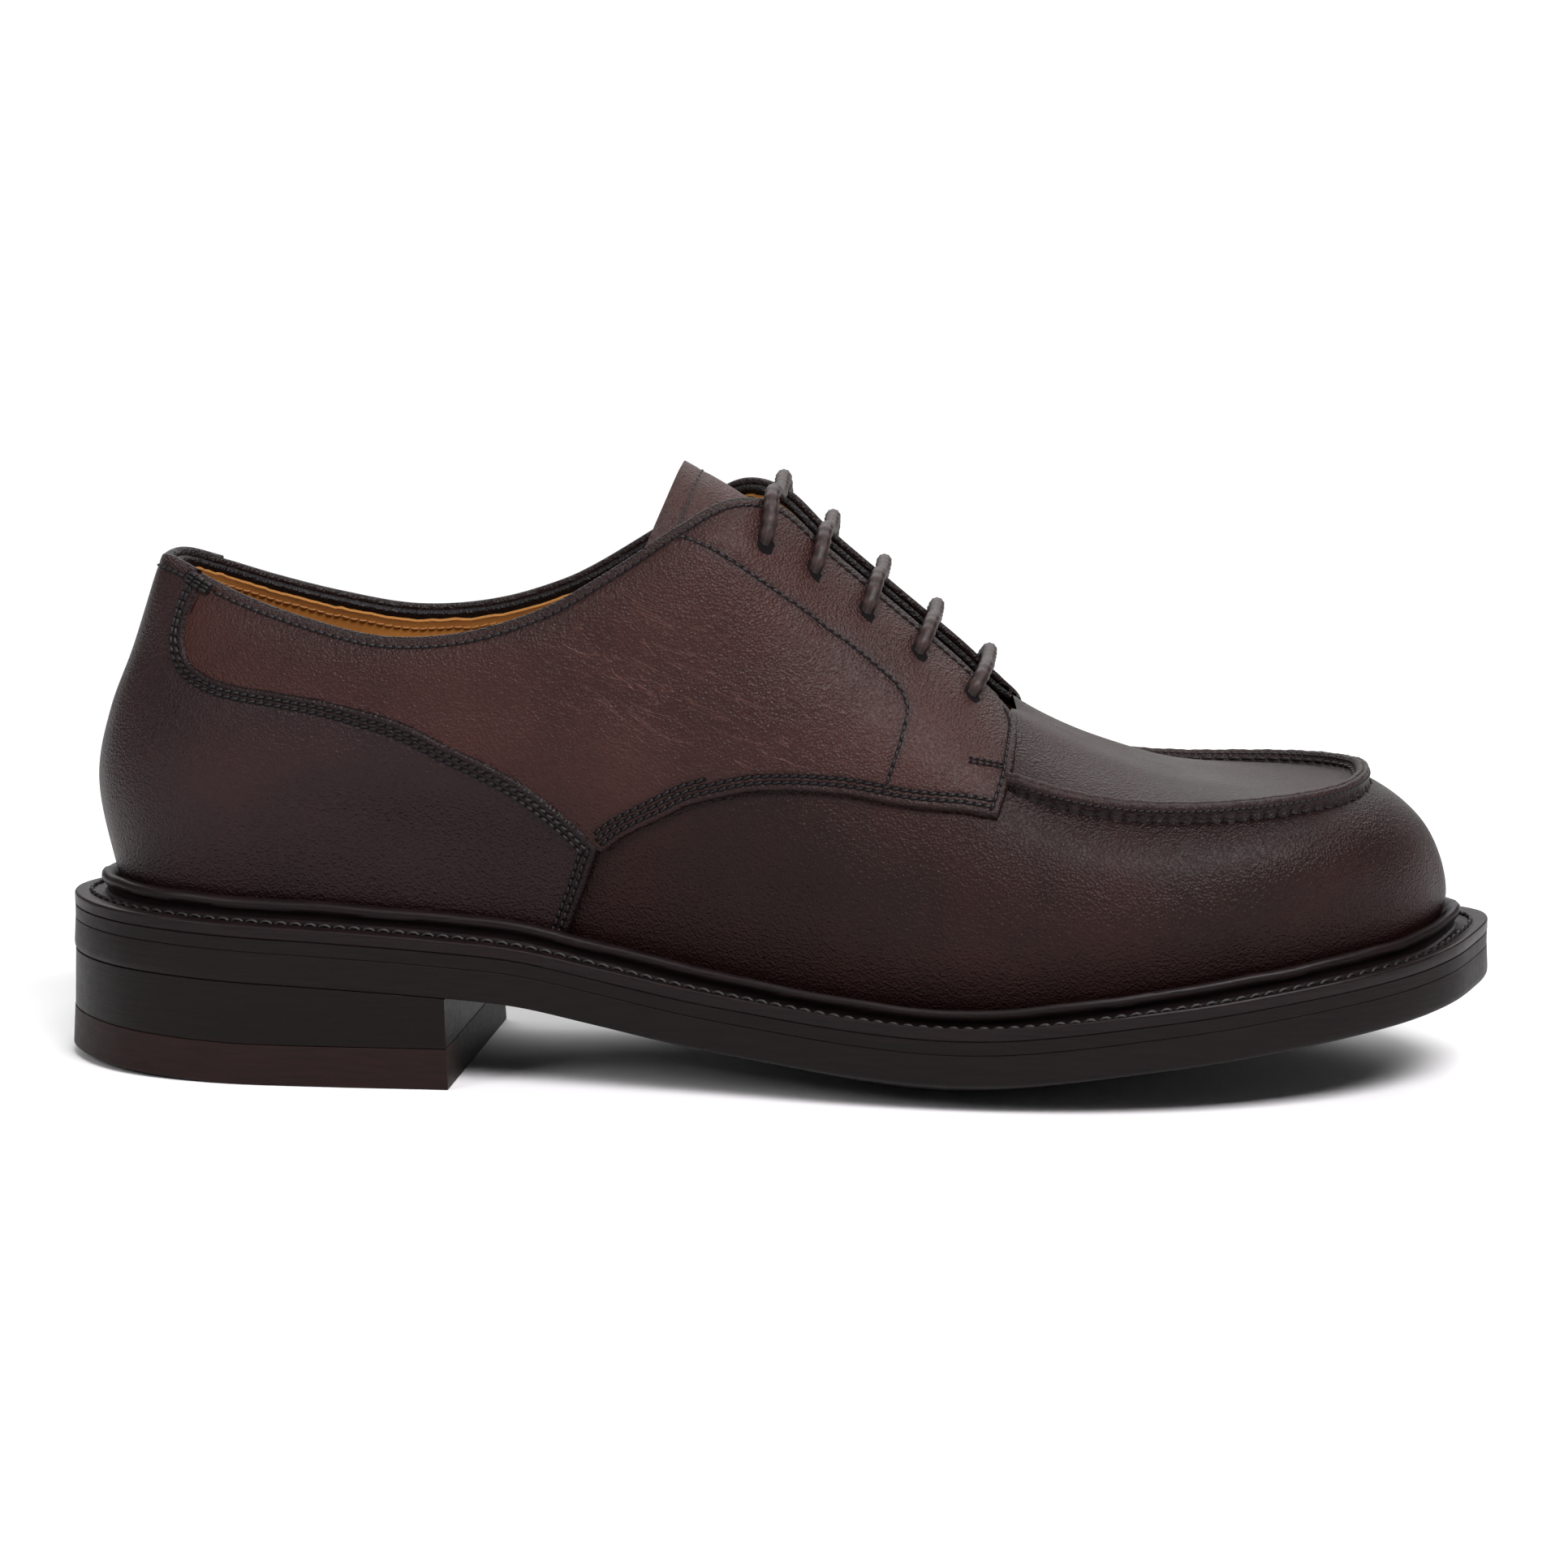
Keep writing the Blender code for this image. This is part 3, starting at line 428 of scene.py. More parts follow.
def section_lines(side):
    """Control lines of the upper on one side: arrays of one point for each section."""
    data = np.array(SECTIONS, float)
    angle = data[:, 0] * math.pi
    if side > 0:
        angle = 2 * math.pi - angle
    inset = table(FEATHER_INSET, data[:, 0])
    low = outline(angle, inset)
    out = low - outline(angle, inset + 1.0)
    middle = spine(outline(angle))
    share = np.linalg.norm(low - middle, axis=1) / np.linalg.norm(outline(angle) - middle, axis=1)
    base = np.column_stack([low, sole_height(low, share) + FOOT_GAP])
    hip = base + np.column_stack([out * data[:, 1:2], data[:, 2]])
    column = 5 if side < 0 else 6
    shoulder = np.column_stack([data[:, 4] * LENGTH, data[:, column] * WIDTH, data[:, 7] * HEIGHT])
    top = np.column_stack([data[:, 8] * LENGTH, data[:, column + 4] * WIDTH, data[:, 11] * HEIGHT])
    chord = shoulder - hip
    outward = np.column_stack([out, np.zeros(len(out))])
    swell = outward - chord * (np.sum(outward * chord, axis=1) / np.sum(chord ** 2, axis=1))[:, None]
    swell /= np.linalg.norm(swell, axis=1, keepdims=True)
    full = (hip + shoulder) / 2 + swell * data[:, 3:4]
    return base, hip, full, shoulder, top


def along_line(points, section, closed_with=None):
    """Place on a control line at a section number, spaced by the line's own length."""
    if closed_with is not None:
        whole = np.concatenate([closed_with[3:0:-1], points, closed_with[-2:-5:-1]])
        first = 3
    else:
        whole = points
        first = 0
    gaps = np.maximum(np.linalg.norm(np.diff(whole, axis=0), axis=1), 0.05)
    length = np.concatenate([[0.0], np.cumsum(gaps)])
    here = np.interp(section, np.arange(len(points)), length[first:first + len(points)])
    return curve(length, whole, here)


def read_rib(rows, beyond, levels):
    """Smooth curve through the rows of a section, carried on beyond the last one."""
    count = len(rows)
    whole = rows if count == len(LEVELS) else np.concatenate([rows, beyond])
    gaps = np.linalg.norm(np.diff(whole, axis=0), axis=1) ** 0.6
    length = np.concatenate([[0.0], np.cumsum(np.maximum(gaps, 0.01))])
    here = np.interp(levels, LEVELS[:count], length[:count])
    return curve(length, whole, here)


def run_length(points):
    """Length along a line of points, at each of them."""
    return np.concatenate([[0.0], np.cumsum(np.linalg.norm(np.diff(points, axis=0), axis=1))])


def leaning_spot(places, x, z, lean, half_length, half_breadth):
    """Share of a soft oval spot seen from the side: 1 in its middle, 0 far out."""
    turn = math.radians(lean)
    dx = places[..., 0] - x * LENGTH
    dz = places[..., 2] - z * HEIGHT
    along = (dx * math.cos(turn) + dz * math.sin(turn)) / half_length
    over = (dz * math.cos(turn) - dx * math.sin(turn)) / half_breadth
    return np.exp(-along ** 2 - over ** 2)


def unit(vectors):
    return vectors / np.maximum(np.linalg.norm(vectors, axis=-1, keepdims=True), 1e-9)


class Skin:
    """The outside of the upper, read anywhere by side, section number and height share."""

    def __init__(self):
        lines = {side: section_lines(side) for side in (-1, 1)}
        crest = np.array(CREST) * (LENGTH, WIDTH, HEIGHT)
        sections = np.round(np.arange(0, LAST + SKIN_SECTION_STEP / 2, SKIN_SECTION_STEP), 4)
        levels = np.round(np.arange(0, 1 + SKIN_LEVEL_STEP / 2, SKIN_LEVEL_STEP), 4)
        self.lines = {}
        for side in (-1, 1):
            for section in sections:
                rows = [along_line(a, section, b) for a, b in zip(lines[side], lines[-side])]
                if section >= THROAT:
                    rows.append(along_line(crest, section - THROAT))
                self.lines[side, section] = np.array(rows)
        self.places = {side: np.array([self.rib(side, s, levels) for s in sections]) for side in (-1, 1)}
        for side in (-1, 1):
            self.places[side] += self.slope(side) * self.softness(self.places[side])[..., None]
        self.normals = {side: self.slope(side) for side in (-1, 1)}
        for last in (0, -1):
            shared = unit(self.normals[-1][last] + self.normals[1][last])
            self.normals[-1][last] = shared
            self.normals[1][last] = shared
        ridge = unit(self.normals[-1][:, -1] + self.normals[1][:, -1])
        self.normals[-1][:, -1] = ridge
        self.normals[1][:, -1] = ridge

    def rib(self, side, section, levels):
        """Points up one section. Up to the throat a rib arches over to the other side."""
        rows = self.lines[side, section]
        twin = self.lines[-side, section]
        free = read_rib(rows, rows[4:], levels)
        if section > THROAT + THROAT_BLEND:
            return free
        arch = read_rib(rows[:5], twin[4:2:-1], levels)
        share = np.clip((section - THROAT) / THROAT_BLEND, 0, 1)
        mixed = arch * (1 - share) + free * share
        return np.where((levels <= TOP_LEVEL)[:, None], mixed, free)

    def slope(self, side):
        """Outward directions on the grid. None is blended across the free top line."""
        places = self.places[side]
        throat = round(THROAT / SKIN_SECTION_STEP)
        top = round(TOP_LEVEL / SKIN_LEVEL_STEP)
        normals = np.zeros_like(places)

        def across(block):
            return unit(np.cross(np.gradient(block, axis=1), np.gradient(block, axis=0)) * side)

        normals[throat:] = across(places[throat:])
        normals[:throat + 1, :top + 1] = across(places[:throat + 1, :top + 1])
        normals[:throat, top + 1:] = normals[:throat, top:top + 1]
        return normals

    def softness(self, places):
        """Sum of the soft forms at the places."""
        return sum(rise * leaning_spot(places, *spot) for *spot, rise in SOFT_FORMS)

    def read(self, grid, section, level):
        rows, columns = grid.shape[:2]
        i = np.clip(np.asarray(section, float) / SKIN_SECTION_STEP, 0, rows - 1.001)
        j = np.clip(np.asarray(level, float) / SKIN_LEVEL_STEP, 0, columns - 1.001)
        i, j = np.broadcast_arrays(i, j)
        a, b = i.astype(int), j.astype(int)
        u, v = (i - a)[..., None], (j - b)[..., None]
        low = grid[a, b] * (1 - v) + grid[a, b + 1] * v
        high = grid[a + 1, b] * (1 - v) + grid[a + 1, b + 1] * v
        return low * (1 - u) + high * u

    def normal(self, side, section, level):
        return unit(self.read(self.normals[side], section, level))

    def at(self, side, section, level, rise=0.0):
        """Places that rise above the surface."""
        rise = np.asarray(rise, float)[..., None]
        return self.read(self.places[side], section, level) + self.normal(side, section, level) * rise

    def row(self, side, line, rise=0.0):
        """Places on a line of sections and levels."""
        return self.at(side, line[:, 0], line[:, 1], rise)

    def row_normal(self, side, line):
        return self.normal(side, line[:, 0], line[:, 1])

    def directions(self, side, section, level):
        """How the surface moves for one section and for one whole height share."""
        ds, dl = 0.1, 0.02
        low = np.minimum(np.asarray(level, float), TOP_LEVEL - dl / 2) - dl / 2
        near = np.clip(np.asarray(section, float) - ds / 2, 0, LAST - ds)
        along = (self.at(side, near + ds, level) - self.at(side, near, level)) / ds
        up = (self.at(side, section, low + dl) - self.at(side, section, low)) / dl
        return along, up

    def slide(self, side, line, distance):
        """A line of sections and levels moved sideways over the surface, to its left."""
        line = np.asarray(line, float)
        ahead = unit(np.gradient(self.row(side, line), axis=0))
        left = np.cross(self.row_normal(side, line), ahead) * -side
        along, up = self.directions(side, line[:, 0], line[:, 1])
        moved = []
        for n, wish in enumerate(left * distance):
            basis = np.column_stack([along[n], up[n]])
            moved.append(line[n] + np.linalg.lstsq(basis, wish, rcond=None)[0])
        return np.array(moved)


def smooth_line(rows, count=240):
    """A line of sections and levels through the first two columns of a table."""
    data = np.array(rows, float)[:, :2]
    length = run_length(data * (SECTION_STEP, LEVEL_STEP))
    return curve(length, data, np.linspace(0, length[-1], count))


def distance_to(points, paths):
    """Distance from each point to the nearest point of the paths."""
    flat = points.reshape(-1, 3)
    nearest = np.full(len(flat), 1e6)
    for path in paths:
        for part in np.array_split(path, max(1, len(path) // 60)):
            gaps = np.linalg.norm(flat[:, None] - part[None], axis=2)
            nearest = np.minimum(nearest, gaps.min(axis=1))
    return nearest.reshape(points.shape[:-1])


def even_path(points, step):
    """The same line with points about step apart."""
    length = run_length(points)
    count = max(2, round(length[-1] / step) + 1)
    here = np.linspace(0, length[-1], count)
    return np.column_stack([np.interp(here, length, points[:, k]) for k in range(points.shape[1])])


def grid_faces(columns, rows, first=0, flip=False):
    """Quads between neighbouring columns, with rows points in each column."""
    faces = []
    for column in range(columns - 1):
        for row in range(rows - 1):
            a = first + column * rows + row
            b = a + rows
            faces.append((b, a, a + 1, b + 1) if flip else (a, b, b + 1, a + 1))
    return faces


def ring_faces(rings, count, first=0, flip=False):
    """Quads round the rings of a tube with count points in each ring."""
    faces = []
    for row in range(rings - 1):
        for i in range(count):
            j = (i + 1) % count
            low, high = first + row * count, first + (row + 1) * count
            quad = (low + i, low + j, high + j, high + i)
            faces.append(quad[::-1] if flip else quad)
    return faces


class Shape:
    """Points, faces and painted values of a piece while it is put together."""

    def __init__(self):
        self.points = []
        self.faces = []
        self.finish = []
        self.paint = {}
        self.count = 0

    def add(self, points, faces, finish=0, **paint):
        """Adds points and the faces between them. A paint is one value for each point."""
        points = np.asarray(points, float).reshape(-1, 3)
        self.points.append(points)
        self.faces += [tuple(i + self.count for i in face) for face in faces]
        self.finish += [finish] * len(faces)
        for name, values in paint.items():
            whole = np.broadcast_to(np.asarray(values, float).reshape(-1), (len(points),))
            self.paint.setdefault(name, []).append((self.count, whole))
        self.count += len(points)

    def grid(self, points, finish=0, flip=False, **paint):
        columns, rows = points.shape[:2]
        self.add(points, grid_faces(columns, rows, 0, flip), finish, **paint)


def add_piece(name, shape, materials, stands_for=(), weld=0.0, sharp_angle=45.0):
    """Makes the mesh object of a piece, in metres, riding on the shoe."""
    points = (np.concatenate(shape.points) - (HEEL_REST, 0.0, 0.0)) * MM
    mesh = bpy.data.meshes.new(name)
    mesh.from_pydata(points.tolist(), [], shape.faces)
    for key, parts in shape.paint.items():
        values = np.zeros(len(points), np.float32)
        for first, part in parts:
            values[first:first + len(part)] = part
        layer = mesh.attributes.new(key, "FLOAT", "POINT")
        layer.data.foreach_set("value", values)
    mesh.polygons.foreach_set("material_index", shape.finish)
    bm = bmesh.new()
    bm.from_mesh(mesh)
    if weld:
        bmesh.ops.remove_doubles(bm, verts=bm.verts, dist=weld * MM)
    bmesh.ops.recalc_face_normals(bm, faces=bm.faces)
    bm.to_mesh(mesh)
    bm.free()
    mesh.shade_smooth()
    mesh.set_sharp_from_angle(angle=math.radians(sharp_angle))
    for material in materials:
        mesh.materials.append(material)
    piece = bpy.data.objects.new(name, mesh)
    bpy.context.scene.collection.objects.link(piece)
    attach(piece, "root")
    if stands_for:
        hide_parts(*stands_for)
    return piece


# Panels of the upper

def near_edge_steps():
    """Distances from an edge at which a panel has rows close together."""
    rounded = [0.0, 0.06, 0.18, 0.38, 0.62, EDGE_ROUND]
    return np.array(rounded + [EDGE_ROUND + 0.36 * n for n in range(1, 13)])


def edge_shares(length, middle):
    """Shares of a length, close together near both ends and even between."""
    steps = near_edge_steps()
    scale = min(1.0, 0.42 * length / steps[-1])
    low = steps * scale / length
    between = np.linspace(low[-1], 1 - low[-1], middle + 2)[1:-1]
    return np.concatenate([low, between, 1 - low[::-1]])


def panel(skin, side, rules, middle_columns, middle_rows):
    """Sections and levels over a panel whose rules run from its lower to its upper ends.

    A rule is the section and level of its lower end, then those of its upper end, and
    its last two columns are the place on the seam that sets the spacing.
    """
    rules = np.array(rules, float)
    length = run_length(rules[:, 4:] * (SECTION_STEP, LEVEL_STEP))
    columns = curve(length, rules, edge_shares(length[-1], middle_columns) * length[-1])
    sections, levels = [], []
    for rule in columns:
        ends = skin.at(side, rule[[0, 2]], rule[[1, 3]])
        shares = edge_shares(max(np.linalg.norm(ends[1] - ends[0]), 2.0), middle_rows)
        sections.append(rule[0] * (1 - shares) + rule[2] * shares)
        levels.append(np.minimum(rule[1] * (1 - shares) + rule[3] * shares, TOP_LEVEL))
    return np.array(sections), np.array(levels)


def front_bulge(share):
    """How far the quarter's front edge stands forward of a straight rule, in sections.

    It swells forward half-way up, and its upper corner is rounded off.
    """
    share = np.clip(share, 0, 1)
    corner = np.clip((share - 0.78) / 0.22, 0, 1)
    rounded_off = CORNER_CUT * (1 - np.sqrt(1 - 0.97 * corner ** 2))
    return FRONT_BULGE * np.sin(math.pi * share / 1.25) ** 0.8 - rounded_off


def edge_rise(distance, full):
    """Height of a panel's surface at a distance from its cut edge, rounded over."""
    share = np.clip(distance / EDGE_ROUND, 0, 1)
    return full * np.sqrt(1 - (1 - share) ** 2)


def stitch_trough(distance, depth):
    """Depth of the shallow trough that a row of stitches pulls into the leather."""
    return depth * np.exp(-(distance / TROUGH_HALF) ** 2)


def levels_below_top(skin, side, sections, drops):
    """Levels that lie the drops below the top line, measured down the surface."""
    steps = np.linspace(0.0, 0.24, 25)
    places = skin.at(side, sections[:, None], TOP_LEVEL - steps[None])
    gone = np.cumsum(np.linalg.norm(np.diff(places, axis=1), axis=2), axis=1)
    gone = np.concatenate([np.zeros((len(sections), 1)), gone], axis=1)
    drops = np.broadcast_to(drops, len(sections))
    return TOP_LEVEL - np.array([np.interp(drop, row, steps) for drop, row in zip(drops, gone)])


def top_bead(skin, side, sections, profile):
    """Points rolled over the top line, from pairs of distances out and up."""
    top = np.full(len(sections), TOP_LEVEL)
    places = skin.at(side, sections, top)
    out = skin.normal(side, sections, top)
    up = unit(places - skin.at(side, sections, levels_below_top(skin, side, sections, 1.5)))
    return np.stack([places + out * o + up * u for o, u in profile], axis=1)


def quarter_rules(skin, side):
    """Rules of a quarter, from under the counter's edge and the vamp seam to the top line."""
    counter = np.array(COUNTER_EDGE)
    under = skin.slide(side, counter[:, :2], -QUARTER_TUCK)
    section, level = TUCK_CORNER
    rules = [(section, level, section, TOP_LEVEL, section, level)]
    for place, top in zip(under[1:-1], counter[1:-1, 3]):
        rules.append((place[0], place[1], top, TOP_LEVEL, place[0], place[1]))
    for section, level, top in VAMP_SEAM:
        rules.append((section, level, top, TOP_LEVEL, section, level))
    return rules


def counter_rules():
    """Rules of the counter, from its foot up to the collar and then to its edge."""
    strip = COUNTER_EDGE[0]
    rules = []
    for share in (0.0, 0.5):
        top = strip[0] * share
        rules.append((strip[2] * share, FOOT_LEVEL, top, TOP_LEVEL, top, TOP_LEVEL))
    for section, level, foot, _ in COUNTER_EDGE:
        rules.append((foot, FOOT_LEVEL, section, level, section, level))
    return rules


def quarter_front():
    """Front edge of a quarter, from its lower corner up to the throat."""
    low = VAMP_SEAM[-1]
    share = np.linspace(0, 1, 90)
    section = low[0] * (1 - share) + low[2] * share + front_bulge(share)
    return np.column_stack([section, low[1] * (1 - share) + TOP_LEVEL * share])


def counter_front():
    """Front edge of the counter, from the welt up to its corner."""
    corner = COUNTER_EDGE[-1]
    return [(corner[2], FOOT_LEVEL), (corner[0], corner[1])]


def straight_line(ends, count=80):
    shares = np.linspace(0, 1, count)[:, None]
    return np.array(ends[0]) * (1 - shares) + np.array(ends[1]) * shares


def below_top(skin, side, start, end, drop):
    """A line that runs the drop below the top line."""
    sections = np.linspace(start, end, 240)
    return np.column_stack([sections, levels_below_top(skin, side, sections, drop)])


def sewing_lines(skin, side):
    """Stitch rows of one side: name to sections and levels, and the rise they lie on."""
    edge = smooth_line(COUNTER_EDGE)
    vamp = smooth_line(VAMP_SEAM)
    front = quarter_front()
    counter_foot = straight_line(counter_front())
    rows = {}
    for n, inset in enumerate(ROW_INSETS):
        rows["counter edge %d" % n] = (skin.slide(side, edge[14:-3], -inset), COUNTER_RISE)
        rows["counter front %d" % n] = (skin.slide(side, counter_foot[4:-2], inset), COUNTER_RISE)
        rows["vamp seam %d" % n] = (skin.slide(side, vamp[2:-4], inset), QUARTER_RISE)
    rows["vamp seam start"] = (skin.slide(side, vamp[4:62], ROW_INSETS[1] + 1.3), QUARTER_RISE)
    rows["quarter front"] = (skin.slide(side, front[4:-4], 2.0), QUARTER_RISE)
    rows["facing edge"] = (below_top(skin, side, 9.1, 14.5, TOP_ROW_DROP), QUARTER_RISE)
    rows["collar"] = (below_top(skin, side, 2.5, 9.1, TOP_ROW_DROP), QUARTER_RISE)
    rows["collar back"] = (below_top(skin, side, 0.0, 2.0, BACK_ROW_DROP), COUNTER_RISE)
    rows["facing"] = (smooth_line(FACING_STITCH), QUARTER_RISE)
    return rows


def sewn_shares(skin, side, base, edges, rows, names):
    """Distances from a panel's points to its cut edges and to the rows of those names."""
    sewn = [line for name, (line, _) in rows.items() if name.startswith(names)]
    paths = [[even_path(skin.row(side, line), ROW_STEP) for line in lines] for lines in (edges, sewn)]
    return distance_to(base, paths[0]), distance_to(base, paths[1])


def darkest(*shares):
    return np.maximum.reduce(np.broadcast_arrays(*shares))


# Beads rolled over the top line: millimetres out from the upper's surface, and up.
QUARTER_BEAD = [
    (QUARTER_RISE, 0.0),
    (QUARTER_RISE - 0.1, 0.28),
    (QUARTER_RISE - 0.45, 0.52),
    (QUARTER_RISE - 0.9, 0.56),
    (QUARTER_RISE - 1.35, 0.38),
    (QUARTER_RISE - 1.6, 0.1),
    (-0.15, -0.6),
]
COUNTER_BEAD = [
    (COUNTER_RISE, 0.0),
    (COUNTER_RISE - 0.1, 0.28),
    (COUNTER_RISE - 0.5, 0.55),
    (COUNTER_RISE - 1.1, 0.62),
    (COUNTER_RISE - 1.7, 0.42),
    (COUNTER_RISE - 2.2, 0.1),
    (-0.2, -0.6),
]
WALL_BEAD = [
    (0.0, 0.0),
    (-0.25, 0.12),
    (-0.7, 0.18),
    (-1.15, 0.12),
    (-UPPER_WALL, -0.15),
    (-UPPER_WALL, -4.0),
]


def build_quarters(skin, rows, leather):
    """Both quarters, rounded at their cut edges, dented by rows and eyelets, rolled on top."""
    low_level = VAMP_SEAM[-1][1]
    for side, name in ((-1, "quarter_lateral"), (1, "quarter_medial")):
        sections, levels = panel(skin, side, quarter_rules(skin, side), 190, 58)
        share = (levels - low_level) / (TOP_LEVEL - low_level)
        sections = sections + front_bulge(share) * np.clip((sections - 13.6) / 1.2, 0, 1) ** 2
        base = skin.at(side, sections, levels)
        edges = (smooth_line(VAMP_SEAM), quarter_front())
        names = ("vamp", "quarter", "facing", "collar")
        to_edge, to_row = sewn_shares(skin, side, base, edges, rows[side], names)
        top = np.linspace(2.3, 14.98, 240)
        to_top = distance_to(base, [skin.at(side, top, TOP_LEVEL)])
        to_eyelet = distance_to(base, [skin.at(side, np.array([s]), LACE_LEVEL) for s in LACE_SECTIONS])
        rise = edge_rise(to_edge, QUARTER_RISE) - stitch_trough(to_row, 0.16)
        rise -= 0.35 * np.exp(-(to_eyelet / 2.3) ** 2)
        rise = np.where(to_edge < 0.02, -0.2, rise)
        places = skin.at(side, sections, levels, rise)
        # Dyed nearly black along the cut edges and the top line; the darkening along the stitch troughs and
        # round the eyelet dents is painted shade.
        burnish = darkest(
            np.exp(-to_edge / 3.2),
            np.exp(-to_top / 3.0),
            0.8 * np.exp(-to_row / 0.9),
            0.9 * np.exp(-np.maximum(to_eyelet - 1.5, 0) / 1.2),
        )
        creased = leaning_spot(base, *CREASES) * np.clip(to_row / 3.0, 0, 1)
        bead = top_bead(skin, side, sections[:, -1], QUARTER_BEAD)
        bead[:, 0] = places[:, -1]
        shape = Shape()
        shape.grid(places, flip=side > 0, burnish=burnish, creased=creased)
        shape.grid(bead, flip=side > 0, burnish=1.0)
        add_piece(name, shape, [leather], [name], weld=0.005)


def build_counter(skin, rows, leather):
    """Counter in one piece round the heel, lapped over the quarters' back edges."""
    shape = Shape()
    for side in (-1, 1):
        sections, levels = panel(skin, side, counter_rules(), 150, 62)
        base = skin.at(side, sections, levels)
        edges = (smooth_line(COUNTER_EDGE), straight_line(counter_front()))
        names = ("counter", "collar back")
        to_edge, to_row = sewn_shares(skin, side, base, edges, rows[side], names)
        rise = edge_rise(to_edge, COUNTER_RISE) - stitch_trough(to_row, 0.18)
        under = np.where(to_edge < 0.02, QUARTER_RISE - 0.9, QUARTER_RISE - 0.6)
        rise = np.where(sections < 7.0, np.maximum(rise, under), rise)
        places = skin.at(side, sections, levels, rise)
        # Dark along the cut edges; the darkening low down by the welt and along the stitch troughs is painted
        # shade.
        foot = np.exp(-np.maximum(levels - FOOT_LEVEL, 0) * LEVEL_STEP / 5.0)
        burnish = darkest(np.exp(-to_edge / 3.2), 0.7 * foot, 0.8 * np.exp(-to_row / 0.9))
        shape.grid(places, flip=side > 0, burnish=burnish)
        strip = np.where(levels[:, -1] > TOP_LEVEL - 0.0015)[0]
        bead = top_bead(skin, side, sections[strip, -1], COUNTER_BEAD)
        bead[:, 0] = places[strip, -1]
        shape.grid(bead, flip=side > 0, burnish=1.0)
    add_piece("counter", shape, [leather], ["counter"], weld=0.005)


def rim_shares():
    """Sections of the apron's rim on one side, from the throat to the toe."""
    return np.linspace(RIM_START, LAST, 420)


def rim_length(skin, side, sections):
    """Length along the rim from the throat, at the sections."""
    fine = np.linspace(RIM_START, LAST, 600)
    places = skin.at(side, fine, SHOULDER_LEVEL)
    return np.interp(sections, fine, run_length(places))


def build_upper(skin, leather, inside):
    """Vamp and apron in one skin, with the puckers below the apron's rim."""
    back = np.linspace(0, THROAT, 120)
    fore = np.linspace(THROAT, LAST, 330)[1:]
    sections = np.concatenate([back, fore])
    levels = np.concatenate([
        np.linspace(0, 0.48, 25)[:-1],
        np.linspace(0.48, 0.62, 26),
        np.linspace(0.62, TOP_LEVEL, 14)[1:],
    ])
    shape = Shape()
    for side in (-1, 1):
        s, v = np.meshgrid(sections, levels, indexing="ij")
        along = rim_length(skin, side, s)
        below = (SHOULDER_LEVEL - 0.005 - v) * LEVEL_STEP
        ahead = np.clip((s - THROAT) / 0.6, 0, 1)
        tuck = np.abs(np.sin(math.pi * along / RIM_PITCH))
        pucker = 0.22 * tuck * np.exp(-(below / 2.4) ** 2) * ahead
        pucker -= 0.25 * np.exp(-(below / 1.5) ** 2) * ahead
        places = skin.at(side, s, v, pucker)
        # Painted shade: darker in the groove along the apron's rim and low down by the welt.
        rim = ahead * np.exp(-np.abs((v - SHOULDER_LEVEL) * LEVEL_STEP) / 4.0)
        foot = np.exp(-v * LEVEL_STEP / 6.0)
        burnish = np.maximum(rim, 0.8 * foot)
        shape.grid(places, flip=side > 0, burnish=burnish)
        bead = top_bead(skin, side, sections[sections <= THROAT], WALL_BEAD)
        shape.grid(bead, finish=1, flip=side > 0, burnish=1.0)
        crown = sections[sections >= THROAT]
        s, v = np.meshgrid(crown, np.linspace(TOP_LEVEL, 1.0, 14), indexing="ij")
        shape.grid(skin.at(side, s, v), flip=side > 0, burnish=0.0)
    add_piece("upper", shape, [leather, inside], ["upper"], weld=0.02)


def rim_frame(skin, side, sections):
    """Foot, across and up of the rim's cross-section."""
    low = np.full(len(sections), SHOULDER_LEVEL)
    sink = -2.0 * np.clip((RIM_START + 0.35 - sections) / 0.35, 0, 1) ** 2
    outer = skin.at(side, sections, low, sink)
    inner = skin.at(side, sections, low + 0.08, sink)
    across = unit(inner - outer)
    up = skin.normal(side, sections, low + 0.03)
    return outer, across, up


# Cross-section of the apron's rim: millimetres across from its outer foot, and up.
# Two leather edges stand side by side, with a groove between them on top.
RIM_PROFILE = [
    (-0.55, -0.15), (-0.28, 0.30), (-0.15, 0.80), (-0.10, 1.50), (-0.02, 2.20), (0.10, 2.80),
    (0.35, 3.20), (0.75, 3.38), (1.15, 3.30), (1.35, 3.08), (1.55, 3.30), (1.95, 3.38),
    (2.40, 3.20), (2.70, 2.70), (2.85, 1.90), (3.00, 1.00), (3.40, 0.35), (4.10, -0.10),
]


